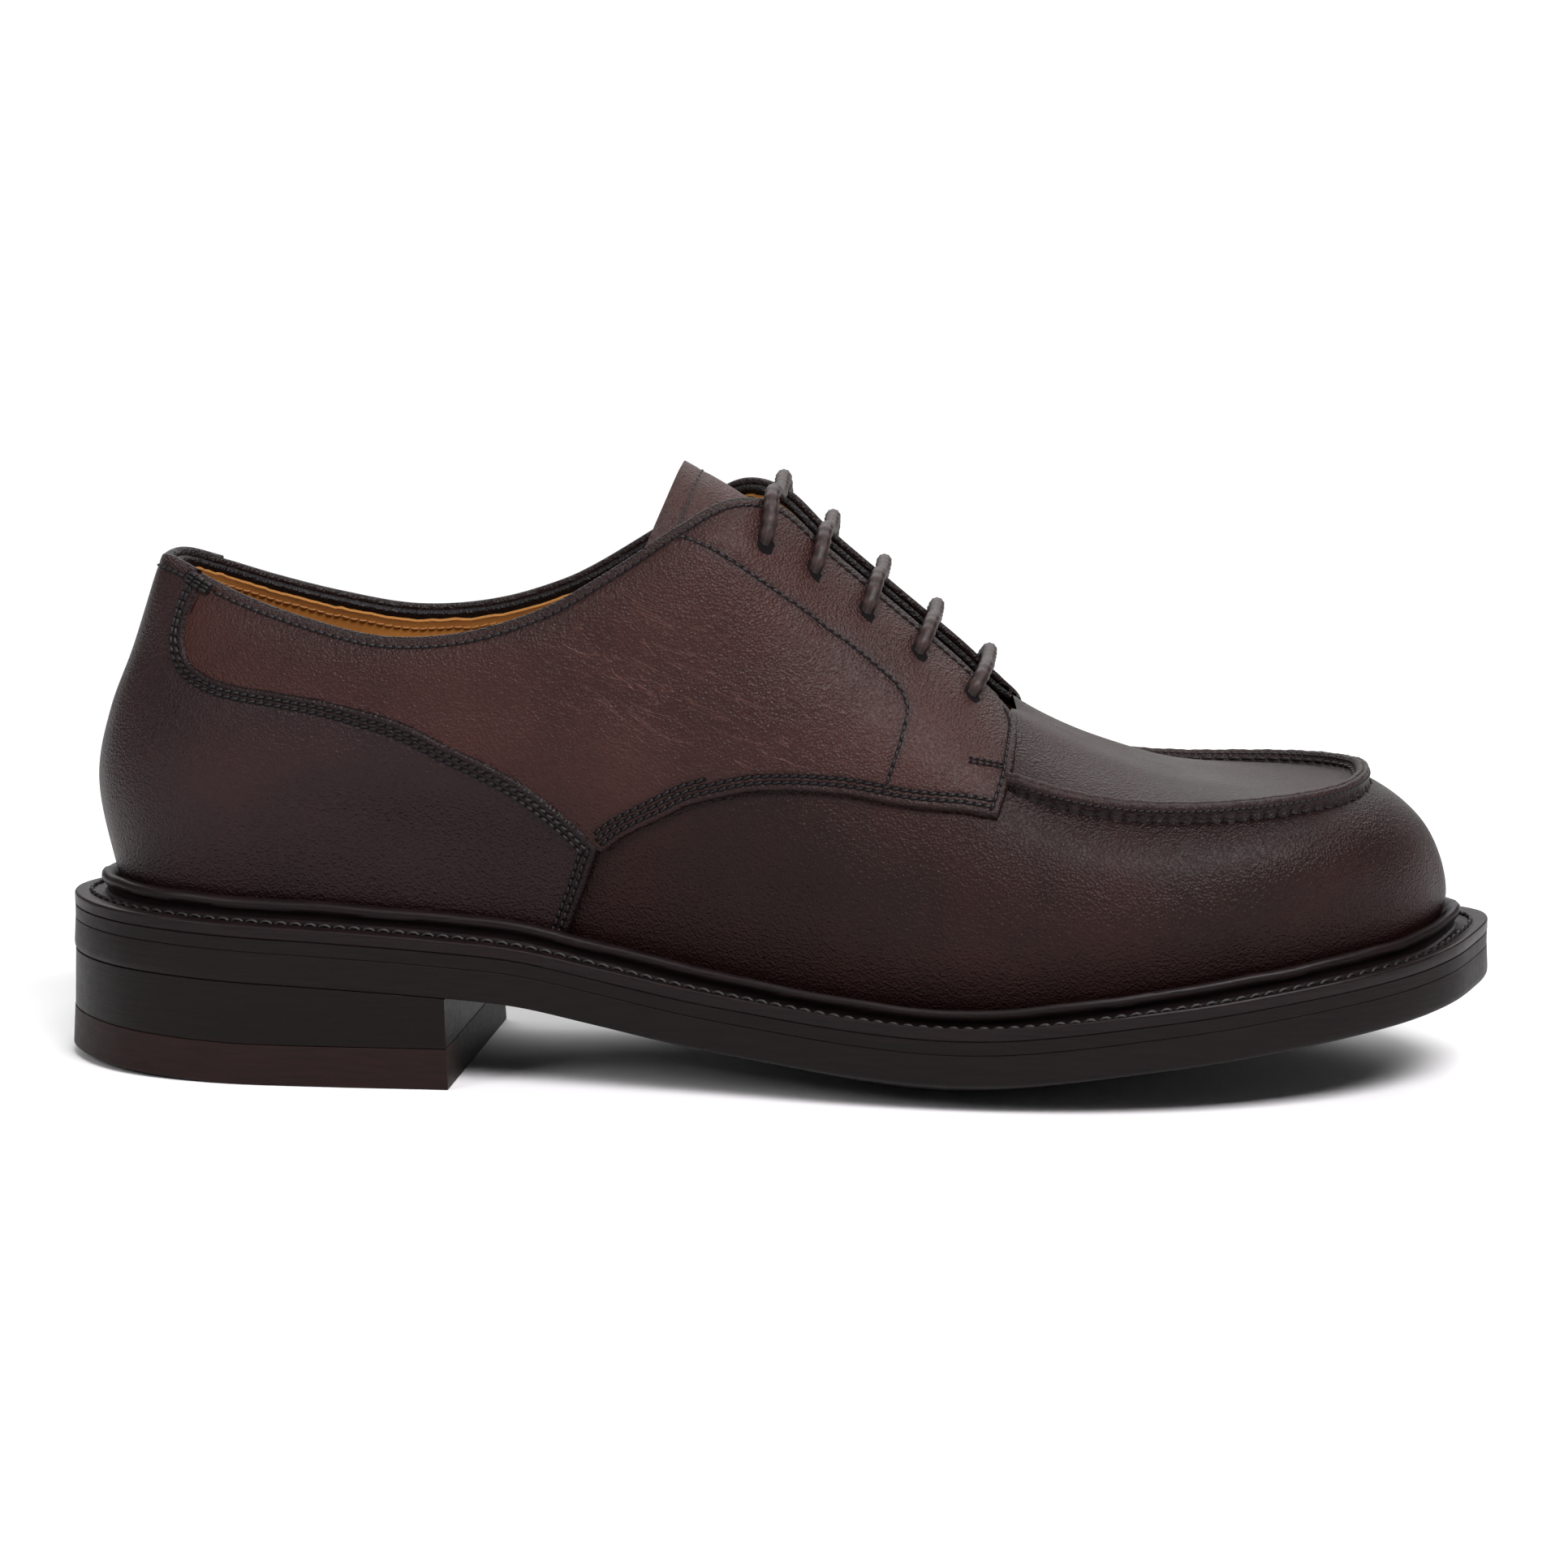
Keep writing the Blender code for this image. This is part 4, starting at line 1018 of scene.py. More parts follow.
def build_rim(skin, leather):
    """The apron's raised seam, gathered along its foot."""
    profile = np.array(RIM_PROFILE)
    rng = np.random.default_rng(11)
    columns = []
    for side, sections in ((-1, rim_shares()), (1, rim_shares()[::-1][1:])):
        outer, across, up = rim_frame(skin, side, sections)
        along = rim_length(skin, side, sections)
        tuck = np.abs(np.sin(math.pi * along / RIM_PITCH)) ** 0.7
        size = rng.uniform(0.55, 1.15, 400)[(along / RIM_PITCH).astype(int)]
        for n in range(len(sections)):
            low = np.exp(-(np.maximum(profile[:, 1] - 0.3, 0) / 0.6) ** 2) * (profile[:, 0] < 1.0)
            swell = (0.85 * tuck[n] * size[n] - 0.30) * low
            wave = 0.05 * math.sin(along[n] * 0.9) + 0.04 * math.sin(along[n] * 2.3)
            shift = profile[:, 0] - swell
            rise = profile[:, 1] + wave * (profile[:, 1] > 1.0)
            columns.append(outer[n] + across[n] * shift[:, None] + up[n] * rise[:, None])
    columns = np.array(columns)
    # Painted shade: darker low down at the rim's foot, lighter on its top.
    height = np.broadcast_to(profile[:, 1], columns.shape[:2])
    burnish = np.clip(1.0 - height / 3.0, 0.25, 1.0)
    shape = Shape()
    shape.grid(columns, burnish=burnish)
    for end, flip in ((columns[0], False), (columns[-1], True)):
        face = tuple(range(len(end)))
        shape.add(end, [face[::-1] if flip else face], burnish=1.0)
    add_piece("apron_seam", shape, [leather], ["apron_seam"], weld=0.005)


# Stitches

def add_stitch(shape, start, end, out, radius, lift):
    """One stitch: a short arched thread that dives into the leather at both ends."""
    sides = 6
    ahead = unit(end - start)
    across = np.cross(out, ahead)
    shares = (0.0, 0.12, 0.35, 0.65, 0.88, 1.0)
    heights = (-0.9, 0.1, 1.0, 1.0, 0.1, -0.9)
    rings = []
    for share, height in zip(shares, heights):
        centre = start * (1 - share) + end * share + out * (lift * height)
        turns = np.arange(sides) * 2 * math.pi / sides
        ring_points = np.cos(turns)[:, None] * across + np.sin(turns)[:, None] * out
        rings.append(centre + ring_points * radius)
    points = np.concatenate(rings)
    shape.add(points, ring_faces(len(rings), sides))


def add_hole(shape, centre, ahead, out, half_length, half_breadth):
    """A dark disc of painted shade for the mouth of an awl hole, lying just over the leather."""
    sides = 8
    across = np.cross(out, ahead)
    turns = np.arange(sides) * 2 * math.pi / sides
    rim = centre + out * 0.05
    rim = rim + np.cos(turns)[:, None] * ahead * half_length + np.sin(turns)[:, None] * across * half_breadth
    shape.add(rim, [tuple(range(sides))])


def sew(
    threads, holes, path, outs, pitch, radius=THREAD_RADIUS, lift=0.16, hole_size=(0.54, 0.42), slant=0.10
):
    """Sews a row of stitches along a path of points with their outward directions."""
    data = even_path(np.column_stack([path, outs]), pitch)
    places, normals = data[:, :3], unit(data[:, 3:])
    gap = 0.08 * pitch
    for n in range(len(places) - 1):
        ahead = unit(places[n + 1] - places[n])
        out = unit(normals[n] + normals[n + 1])
        across = np.cross(out, ahead)
        start = places[n] + ahead * gap - across * slant
        end = places[n + 1] - ahead * gap + across * slant
        add_stitch(threads, start, end, out, radius, lift)
        if holes is not None:
            add_hole(holes, places[n], ahead, normals[n], *hole_size)
    if holes is not None:
        add_hole(holes, places[-1], ahead, normals[-1], *hole_size)


# Bar tacks: line, rise, shifts of their rows, pitch, thread radius, millimetres.
TACKS = [
    (FACING_TACK, QUARTER_RISE, (-0.45, 0.45), 1.5, 0.26),
    (COLLAR_TACK, COUNTER_RISE + 0.1, (-0.6, 0.0, 0.6), 2.4, 0.42),
]


def build_stitches(skin, rows, thread, dark):
    """Rows on the panels, the bar tacks and the fine rows on the apron's rim."""
    threads, holes = Shape(), Shape()
    for side in (-1, 1):
        for name, (line, rise) in rows[side].items():
            path = skin.row(side, line, rise - 0.13)
            outs = skin.row_normal(side, line)
            if name.startswith(("counter", "vamp")):
                sew(threads, holes, path, outs, STITCH_PITCH, 0.36, 0.20, (0.60, 0.46), 0.2)
            else:
                sew(threads, holes, path, outs, STITCH_PITCH)
        for ends, rise, shifts, pitch, radius in TACKS:
            for shift in shifts:
                line = skin.slide(side, straight_line(ends, 20), shift)
                sew(threads, holes, skin.row(side, line, rise), skin.row_normal(side, line), pitch, radius)
        outer, across, up = rim_frame(skin, side, rim_shares())
        path = outer + up * 2.25 - across * 0.02
        sew(threads, holes, path, -across, FINE_PITCH, 0.17, 0.10, (0.30, 0.24))
        sew(threads, None, outer + up * 2.35 + across * 2.72, across, FINE_PITCH, 0.2, 0.12)
        sew(threads, None, outer + up * 1.2 + across * 2.98, across, RIM_PITCH, 0.34, 0.20)
    add_piece("stitches", threads, [thread])
    add_piece("stitch_holes", holes, [dark])


# Inside and tongue

def build_lining(skin, lining, raw_edge, thread):
    """Tan lining of the quarters, trimmed just below the top line, with its own row."""
    count = 190
    sections = np.linspace(0, 17, count)
    row = slice(0, 172)
    depth = -UPPER_WALL - LINING_DEPTH
    shape = Shape()
    stitches = Shape()
    rng = np.random.default_rng(7)
    for side in (-1, 1):
        trim = LINING_DROP + 0.16 * rng.standard_normal(count) + 4.0 * np.clip((sections - 12.3) / 1.5, 0, 1)
        top = levels_below_top(skin, side, sections, trim)
        shares = np.concatenate([np.linspace(0, 0.94, 34), [0.97, 0.985, 0.995, 1.0]])
        s = sections[:, None]
        v = FOOT_LEVEL + (top[:, None] - FOOT_LEVEL) * shares[None]
        near = skin.at(side, s, v, -UPPER_WALL - 0.05)
        far = skin.at(side, s, v, depth)
        shape.grid(far, flip=side < 0, burnish=0.0)
        edge = np.stack([far[:, -1], (far[:, -1] + near[:, -1]) / 2 + (0, 0, 0.12), near[:, -1]], axis=1)
        shape.grid(edge, finish=1, flip=side < 0, burnish=0.0)
        level = levels_below_top(skin, side, sections[row], trim[row] + LINING_ROW_DROP)
        line = np.column_stack([sections[row], level])
        path = skin.row(side, line, depth - 0.05)
        sew(stitches, None, path, -skin.row_normal(side, line), STITCH_PITCH, 0.24, 0.12)
    add_piece("lining", shape, [lining, raw_edge], weld=0.02)
    add_piece("lining_stitches", stitches, [thread])


def tongue_place(along, across, rise=0.0):
    """Places on the tongue: along from root to top edge, across from -1 to 1."""
    data = np.array(TONGUE, float)
    middle = data[:, :2] * (LENGTH, HEIGHT)
    length = run_length(middle)

    def sheet(a, c):
        rows = curve(length, np.column_stack([middle, data[:, 2:]]), np.asarray(a) * length[-1])
        fall = np.abs(c) ** 1.9
        x = rows[..., 0] - rows[..., 4] * fall
        return np.stack([x, rows[..., 2] * c, rows[..., 1] - rows[..., 3] * fall], axis=-1)

    small = 0.004
    a, c = np.broadcast_arrays(np.asarray(along, float), np.asarray(across, float))
    da = sheet(np.minimum(a + small, 1), c) - sheet(np.minimum(a + small, 1) - 2 * small, c)
    dc = sheet(a, np.minimum(c + small, 1)) - sheet(a, np.minimum(c + small, 1) - 2 * small)
    out = unit(np.cross(dc, da))
    out = out * np.where(out[..., 2:] < 0, -1, 1)
    return sheet(a, c) + out * np.asarray(rise, float)[..., None], out


def build_tongue(leather, lining, raw_edge, thread, dark):
    """Tongue of soft calf with a tan lining and a cut top edge."""
    shares = np.concatenate([np.linspace(0, 0.97, 70), [0.985, 0.995, 1.0]])
    across = np.sin(np.linspace(-math.pi / 2, math.pi / 2, 61))
    a, c = np.meshgrid(shares, across, indexing="ij")
    ripple = 0.25 * np.sin(a * 9 + c * 2.2) * a
    top, out = tongue_place(a, c, ripple)
    under, _ = tongue_place(a, c, ripple - TONGUE_DEPTH)
    row = (TONGUE_ROW, np.linspace(-0.97, 0.97, 90))
    to_row = distance_to(top, [tongue_place(*row)[0]])
    to_top = distance_to(top, [tongue_place(1.0, np.linspace(-1, 1, 90))[0]])
    top -= out * stitch_trough(to_row, 0.16)[..., None]
    # Dark along the cut top edge; the darkening along the stitch trough is painted shade.
    burnish = np.maximum(0.55 * np.exp(-to_top / 2.0), 0.7 * np.exp(-to_row / 0.8))
    shape = Shape()
    shape.grid(top, burnish=burnish)
    shape.grid(under, finish=1, flip=True, burnish=0.0)
    for edge in ((-1, slice(None)), (slice(None), 0), (slice(None), -1)):
        middle = (top[edge] + under[edge]) / 2
        shape.grid(np.stack([top[edge], middle, under[edge]], axis=1), finish=2, burnish=0.3)
    add_piece("tongue", shape, [leather, lining, raw_edge], ["tongue"], weld=0.01)
    threads, holes = Shape(), Shape()
    path, outs = tongue_place(*row, -0.1)
    sew(threads, holes, path, outs, STITCH_PITCH)
    add_piece("tongue_stitches", threads, [thread])
    add_piece("tongue_stitch_holes", holes, [dark])


# Laces

# Half a bar, from inside its eyelet to the facing's edge: level, rise and shift to the
# front, the last two in millimetres.
LACE_STEPS = [
    (LACE_LEVEL - 0.004, -2.6, 0.0),
    (LACE_LEVEL - 0.003, 0.5, 0.0),
    (LACE_LEVEL + 0.006, 2.5, 0.1),
    (LACE_LEVEL + 0.030, QUARTER_RISE + 1.75, 0.6),
    (TOP_LEVEL - 0.016, QUARTER_RISE + 1.6, 1.2),
]


def lace_path(skin, section):
    """Middle line of one bar: out of an eyelet, over both facings and into the other."""
    left, right = (
        [skin.at(side, section, level, rise) + (ahead, 0, 0) for level, rise, ahead in LACE_STEPS]
        for side in (-1, 1)
    )
    top = (left[-1] + right[-1]) / 2 + np.array([0.2, 0.0, -0.6])
    knots = np.array(left + [top] + right[::-1])
    length = run_length(knots)
    path = curve(length, knots, np.arange(0, length[-1], LACE_STEP))
    for _ in range(40):
        path[1:-1] = (path[:-2] + 2 * path[1:-1] + path[2:]) / 4
    return path


def build_laces(skin, waxed):
    """Five bars of round braided lace, each pulled through its two eyelets."""
    sides = 20
    strands = 5
    turns = np.arange(sides) * 2 * math.pi / sides
    for n, section in enumerate(LACE_SECTIONS):
        path = lace_path(skin, section)
        ahead = unit(np.gradient(path, axis=0))
        out = unit(np.cross(ahead, (1.0, 0.0, 0.0)))
        across = np.cross(out, ahead)
        twist = run_length(path)[:, None] * 1.15 / strands
        over = np.cos(strands * (turns - twist)) * np.cos(strands * (turns + twist))
        radius = LACE_RADIUS * (0.96 + 0.09 * over)
        ring_points = (
            path[:, None]
            + radius[..., None] * np.cos(turns)[None, :, None] * out[:, None]
            + radius[..., None] * np.sin(turns)[None, :, None] * across[:, None]
        )
        shape = Shape()
        faces = ring_faces(len(path), sides)
        faces.append(tuple(range(sides)))
        faces.append(tuple(reversed(range((len(path) - 1) * sides, len(path) * sides))))
        shape.add(ring_points, faces, weave=over * 0.5 + 0.5)
        name = "lace_bar_" + str(n + 1)
        add_piece(name, shape, [waxed], [name], sharp_angle=70.0)


def build_eyelets(skin, dark):
    """Plain punched eyelets, drawn as a dark ring and disc of painted shade round the lace."""
    shape = Shape()
    turns = np.linspace(0, 2 * math.pi, 24, endpoint=False)
    for side in (-1, 1):
        for section in LACE_SECTIONS:
            centre = skin.at(side, section, LACE_LEVEL - 0.009)
            out = skin.normal(side, section, LACE_LEVEL)
            along, up = (unit(v) for v in skin.directions(side, section, LACE_LEVEL))
            circle = np.cos(turns)[:, None] * along + np.sin(turns)[:, None] * up
            low = centre + circle * (EYELET_RADIUS + 0.2) + out * 1.3
            high = centre + circle * EYELET_RADIUS + out * 1.56
            shape.add(np.concatenate([low, high]), ring_faces(2, 24) + [tuple(range(24, 48))])
    add_piece("eyelets", shape, [dark])


# Sole

def loft_piece(name, rings, materials, stands_for):
    """A closed body through rings whose first and last are closed on themselves."""
    shape = Shape()
    shape.add(np.concatenate(rings), ring_faces(len(rings), len(rings[0])))
    add_piece(name, shape, materials, stands_for, weld=0.01, sharp_angle=40.0)


# Cross-section of the welt's top: millimetres in from its edge, and up.
WELT_PROFILE = [
    (0.05, -0.75), (0.05, -0.45), (0.28, -0.12), (0.7, 0.02), (1.6, 0.05), (3.0, 0.0), (4.4, -0.1),
    (5.6, -0.25), (6.4, -0.2), (6.9, 0.3), (6.95, 1.2), (6.5, 1.9), (5.95, 2.25), (5.75, 2.9),
    (5.85, 3.7), (6.3, 4.25), (7.0, 4.45), (7.8, 4.4), (8.6, 3.9), (9.8, 2.4), (11.0, 1.2), (15.0, 0.2),
]


def build_welt(leather, thread, dark):
    """Storm welt: bevelled edge, flat for the stitches, channel, and lip on the upper."""
    angles = sole_angles()
    wave = 0.10 * np.sin(angles * 23) + 0.06 * np.sin(angles * 41 + 1.3)
    rings = [inner_ring(angles, 0.3, share, -WELT_DEPTH) for share in (0.0, 0.5)]
    rings.append(ring(angles, 0.35, -WELT_DEPTH))
    rings.append(ring(angles, 0.05, 0.35 - WELT_DEPTH))
    for inset, rise in WELT_PROFILE:
        points = ring(angles, inset, rise)
        if rise > 2.0:
            points[:, 2] += wave
        rings.append(points)
    rings.append(inner_ring(angles, 15.0, 0.0, 0.2))
    loft_piece("welt", rings, [leather], ["welt"])
    threads, holes = Shape(), Shape()
    closed = np.append(angles, 2 * math.pi)
    path = ring(closed, 3.6, 0.02)
    outs = np.broadcast_to((0.0, 0.0, 1.0), path.shape)
    sew(threads, holes, path, outs, WELT_PITCH, 0.42, 0.30, (0.55, 0.5))
    add_piece("welt_stitches", threads, [thread])
    add_piece("welt_stitch_holes", holes, [dark])


def build_midsole(leather):
    """Flat layer with rounded arrises, a little inside the welt's edge."""
    angles = sole_angles()
    top = -WELT_DEPTH - 0.03
    base = -WELT_DEPTH - MIDSOLE_DEPTH - 0.36
    rings = [inner_ring(angles, 0.6, 0.0, base), ring(angles, 0.26, base), ring(angles, 0.12, base + 0.12)]
    rings += [ring(angles, 0.10, top - 0.12), ring(angles, 0.24, top), inner_ring(angles, 0.6, 0.0, top)]
    loft_piece("midsole", rings, [leather], ["midsole"])


def build_outsole(rubber):
    """Rubber sole with rounded arrises, flattened where it meets the floor."""
    angles = sole_angles()
    top = -WELT_DEPTH - MIDSOLE_DEPTH - 0.4
    rings = [inner_ring(angles, 0.2, 0.0, top), ring(angles, 0.22, top), ring(angles, 0.08, top - 0.14)]
    rings.append(ring(angles, 0.0, top - 1.2))
    foot = [(-0.2, 1.6), (-0.15, 0.7), (0.15, 0.15), (0.7, 0.0)]
    rings += [ring(angles, inset, rise - SOLE_DEPTH) for inset, rise in foot]
    rings += [inner_ring(angles, 0.7, tenths / 10, -SOLE_DEPTH) for tenths in range(9, -1, -1)]
    for points in rings:
        points[:, 2] = np.maximum(points[:, 2], 0.0)
    loft_piece("outsole", rings, [rubber], ["outsole"])


def heel_floor(x):
    """Height of the heel's underside, bevelled up towards its back."""
    return HEEL_BEVEL * np.clip((HEEL_BEVEL_REACH - x) / HEEL_BEVEL_REACH, 0, 1) ** 1.3


def heel_loop(inset):
    """Closed loop of the heel's outline: lateral side forward, breast, medial side back."""
    count = 70
    last = math.acos(1 - 2 * HEEL_END / LENGTH)
    steps = last * np.linspace(0, 1, count)
    lateral = outline(steps, inset)
    medial = outline(2 * math.pi - steps, inset)
    lateral[-1, 0] -= BREAST_SKEW / 2 + inset
    medial[-1, 0] += BREAST_SKEW / 2 - inset
    shares = np.linspace(0, 1, 22)[1:-1, None]
    breast = lateral[-1] * (1 - shares) + medial[-1] * shares
    return np.concatenate([lateral, breast, medial[:0:-1]])


def build_heel(leather, rubber):
    """Heel block under the sole, and the top lift under that."""

    def under_sole(x):
        return table(WELT_TOP, x / LENGTH) * HEIGHT - SOLE_DEPTH - 0.05

    def lift_top(x):
        return heel_floor(x) + LIFT_DEPTH

    def slice_piece(name, floor, top, inset, flare, material):
        middle = np.array([40.0, 0.0])
        rows = [(0.18, floor, 0.0), (0.0, floor, 0.18), (0.0, top, -0.14), (0.14, top, 0.0)]
        rings = []
        for k, (bevel, height, lift) in enumerate(rows):
            flat = heel_loop(inset + bevel + (flare if k < 2 else 0.0))
            rings.append(np.column_stack([flat, height(flat[:, 0]) + lift]))
        for k, height in ((0, floor), (-1, top)):
            flat = rings[k][:, :2]
            for share in (0.6, 0.3, 0.0):
                inner = middle + (flat - middle) * share
                points = np.column_stack([inner, height(inner[:, 0])])
                if k == 0:
                    rings.insert(0, points)
                else:
                    rings.append(points)
        loft_piece(name, rings, [material], [name])

    slice_piece("heel_block", lambda x: lift_top(x) + 0.04, under_sole, 0.02, -0.28, leather)
    slice_piece("top_lift", heel_floor, lift_top, -0.35, -0.45, rubber)


# Materials

def linear(hex_colour):
    """Linear colour of an sRGB hex value."""
    parts = [int(hex_colour[k:k + 2], 16) / 255 for k in (1, 3, 5)]
    return (*[p / 12.92 if p <= 0.04045 else ((p + 0.055) / 1.055) ** 2.4 for p in parts], 1.0)


def add_node(tree, kind, inputs=None, **settings):
    """Adds a node. An input takes a value, or the socket that it is linked from."""
    node = tree.nodes.new(kind)
    for key, value in settings.items():
        setattr(node, key, value)
    for key, value in (inputs or {}).items():
        if isinstance(value, bpy.types.NodeSocket):
            tree.links.new(value, node.inputs[key])
        else:
            node.inputs[key].default_value = value
    return node


def new_material(name, **sockets):
    """A material, its tree and its shader, with the shader's constant sockets set."""
    material = bpy.data.materials.new(name)
    material.use_nodes = True
    tree = material.node_tree
    shader = tree.nodes["Principled BSDF"]
    for key, value in sockets.items():
        shader.inputs[key.replace("_", " ")].default_value = value
    return material, tree, shader


def per_metre(millimetres):
    """Scale of a pattern whose cells measure that many millimetres."""
    return 1000.0 / millimetres


# Sizes of the materials' patterns in millimetres. Real pores are about 0.2 apart and real
# fibres and strands finer still, so these are drawn coarser, to show in the picture.
CLOUD_SIZE = 34
FLECK_SIZE = 1.6
PORE_SIZE = 0.55
GRAIN_SIZE = 0.9
CREASE_RUN = 13
CREASE_GAP = 1.9
LINING_CLOUD = 9
LINING_PORE = 0.7
FIBRE_SIZE = 0.8
SCRATCH_RUN = 9
SCRATCH_GAP = 0.8
WAX_FLECK = 2.2
STRAND_FLECK = 0.6


def burnished_calf(name, deep, warm, edge, roughness=0.38, creased=0.0, specular=0.17):
    """Calf, aniline dyed and burnished by hand: satin, cloudy, nearly black along edges and, as painted
    shade, in troughs, grooves and low by the welt.
    """
    material, tree, shader = new_material(
        name, Coat_Weight=0.02, Coat_Roughness=0.3, Specular_IOR_Level=specular, IOR=1.45
    )
    place = add_node(tree, "ShaderNodeTexCoord").outputs["Object"]
    cloud = add_node(
        tree, "ShaderNodeTexNoise",
        {"Vector": place, "Scale": per_metre(CLOUD_SIZE), "Detail": 3.0, "Roughness": 0.55},
    ).outputs["Fac"]
    tone = add_node(tree, "ShaderNodeMapRange", {"Value": cloud, "From Min": 0.36, "From Max": 0.66})
    base = add_node(
        tree, "ShaderNodeMix", {"Factor": tone.outputs["Result"], "A": linear(deep), "B": linear(warm)},
        data_type="RGBA",
    )
    fleck = add_node(
        tree, "ShaderNodeTexNoise",
        {"Vector": place, "Scale": per_metre(FLECK_SIZE), "Detail": 4.0, "Roughness": 0.65},
    )
    fleck_amount = add_node(
        tree, "ShaderNodeMapRange",
        {"Value": fleck.outputs["Fac"], "From Min": 0.3, "From Max": 0.7, "To Min": 0.86, "To Max": 1.12},
    )
    mottled = add_node(
        tree, "ShaderNodeVectorMath", {0: base.outputs["Result"], "Scale": fleck_amount.outputs["Result"]},
        operation="SCALE",
    )
    # This paint darkens towards the edge colour both where the edges are dyed and where shade is painted in
    # troughs, grooves and low by the welt.
    dye_and_shade_paint = add_node(tree, "ShaderNodeAttribute", attribute_name="burnish")
    dark_share = add_node(
        tree, "ShaderNodeMath", {0: dye_and_shade_paint.outputs["Fac"], 1: 0.82}, operation="MULTIPLY", use_clamp=True
    )
    colour = add_node(
        tree, "ShaderNodeMix",
        {"Factor": dark_share.outputs["Value"], "A": mottled.outputs["Vector"], "B": linear(edge)},
        data_type="RGBA",
    ).outputs["Result"]
    gloss = add_node(
        tree, "ShaderNodeMapRange",
        {
            "Value": cloud, "From Min": 0.3, "From Max": 0.7,
            "To Min": roughness - 0.04, "To Max": roughness + 0.06,
        },
    )
    tree.links.new(gloss.outputs["Result"], shader.inputs["Roughness"])
    pores = add_node(
        tree, "ShaderNodeTexVoronoi", {"Vector": place, "Scale": per_metre(PORE_SIZE), "Randomness": 1.0},
        feature="F1",
    )
    pebble = add_node(
        tree, "ShaderNodeTexNoise",
        {"Vector": place, "Scale": per_metre(GRAIN_SIZE), "Detail": 3.0, "Roughness": 0.6},
    )
    fine = add_node(
        tree, "ShaderNodeBump", {"Height": pores.outputs["Distance"], "Strength": 0.9, "Distance": 0.00021}
    )
    normal = add_node(
        tree, "ShaderNodeBump",
        {
            "Height": pebble.outputs["Fac"], "Strength": 0.75, "Distance": 0.00036,
            "Normal": fine.outputs["Normal"],
        },
    ).outputs["Normal"]
    if creased:
        colour, normal = add_creases(tree, place, colour, normal, creased)
    tree.links.new(colour, shader.inputs["Base Color"])
    tree.links.new(normal, shader.inputs["Normal"])
    return material


def add_creases(tree, place, colour, normal, strength):
    """Fine creases of walking, drawn out along the collar and rubbed paler on their tops."""
    mask = add_node(tree, "ShaderNodeAttribute", attribute_name="creased")
    turned = add_node(tree, "ShaderNodeMapping", {"Vector": place, "Rotation": (0.0, math.radians(-24), 0.0)})
    sizes = (per_metre(CREASE_RUN), per_metre(CREASE_RUN), per_metre(CREASE_GAP))
    drawn_out = add_node(tree, "ShaderNodeMapping", {"Vector": turned.outputs["Vector"], "Scale": sizes})
    lines = add_node(
        tree, "ShaderNodeTexNoise",
        {"Vector": drawn_out.outputs["Vector"], "Scale": 1.0, "Detail": 2.0, "Distortion": 0.5},
    )
    centred = add_node(tree, "ShaderNodeMath", {0: lines.outputs["Fac"], 1: 0.5}, operation="SUBTRACT")
    apart = add_node(tree, "ShaderNodeMath", {0: centred.outputs["Value"]}, operation="ABSOLUTE")
    ridge = add_node(
        tree, "ShaderNodeMapRange",
        {"Value": apart.outputs["Value"], "From Max": 0.024, "To Min": 1.0, "To Max": 0.0},
    )
    depth = add_node(
        tree, "ShaderNodeMath", {0: ridge.outputs["Result"], 1: mask.outputs["Fac"]}, operation="MULTIPLY"
    ).outputs["Value"]
    worn = add_node(tree, "ShaderNodeMath", {0: depth, 1: 0.24}, operation="MULTIPLY")
    rubbed_pale = add_node(
        tree, "ShaderNodeMix", {"Factor": worn.outputs["Value"], "A": colour, "B": linear("#6A423A")},
        data_type="RGBA",
    )
    wrinkles = add_node(
        tree, "ShaderNodeBump", {"Height": depth, "Strength": strength, "Distance": 0.0004, "Normal": normal}
    )
    return rubbed_pale.outputs["Result"], wrinkles.outputs["Normal"]


def two_tone(tree, shader, share, deep, light, height, strength, depth):
    """Finishes a material: colour between two tones by a share, and relief from a height."""
    base = add_node(
        tree, "ShaderNodeMix", {"Factor": share, "A": linear(deep), "B": linear(light)}, data_type="RGBA"
    )
    tree.links.new(base.outputs["Result"], shader.inputs["Base Color"])
    bump = add_node(tree, "ShaderNodeBump", {"Height": height, "Strength": strength, "Distance": depth})
    tree.links.new(bump.outputs["Normal"], shader.inputs["Normal"])


def tan_lining(name, deep, light, roughness):
    """Vegetable-tanned lining calf: matt, warm, cloudy where hands have polished it."""
    material, tree, shader = new_material(
        name, Specular_IOR_Level=0.4, Sheen_Weight=0.1, Sheen_Roughness=0.5, Roughness=roughness
    )
    place = add_node(tree, "ShaderNodeTexCoord").outputs["Object"]
    cloud = add_node(
        tree, "ShaderNodeTexNoise",
        {"Vector": place, "Scale": per_metre(LINING_CLOUD), "Detail": 5.0, "Roughness": 0.6},
    ).outputs["Fac"]
    pores = add_node(
        tree, "ShaderNodeTexNoise", {"Vector": place, "Scale": per_metre(LINING_PORE), "Detail": 3.0}
    ).outputs["Fac"]
    two_tone(tree, shader, cloud, deep, light, pores, 0.25, 0.0003)
    return material


def raw_cut_edge(name, deep, light):
    """Cut edge of leather: fibrous, rough and paler than its face."""
    material, tree, shader = new_material(name, Roughness=0.85, Specular_IOR_Level=0.25)
    place = add_node(tree, "ShaderNodeTexCoord").outputs["Object"]
    fibres = add_node(
        tree, "ShaderNodeTexNoise",
        {"Vector": place, "Scale": per_metre(FIBRE_SIZE), "Detail": 4.0, "Roughness": 0.7},
    ).outputs["Fac"]
    two_tone(tree, shader, fibres, deep, light, fibres, 0.6, 0.0004)
    return material


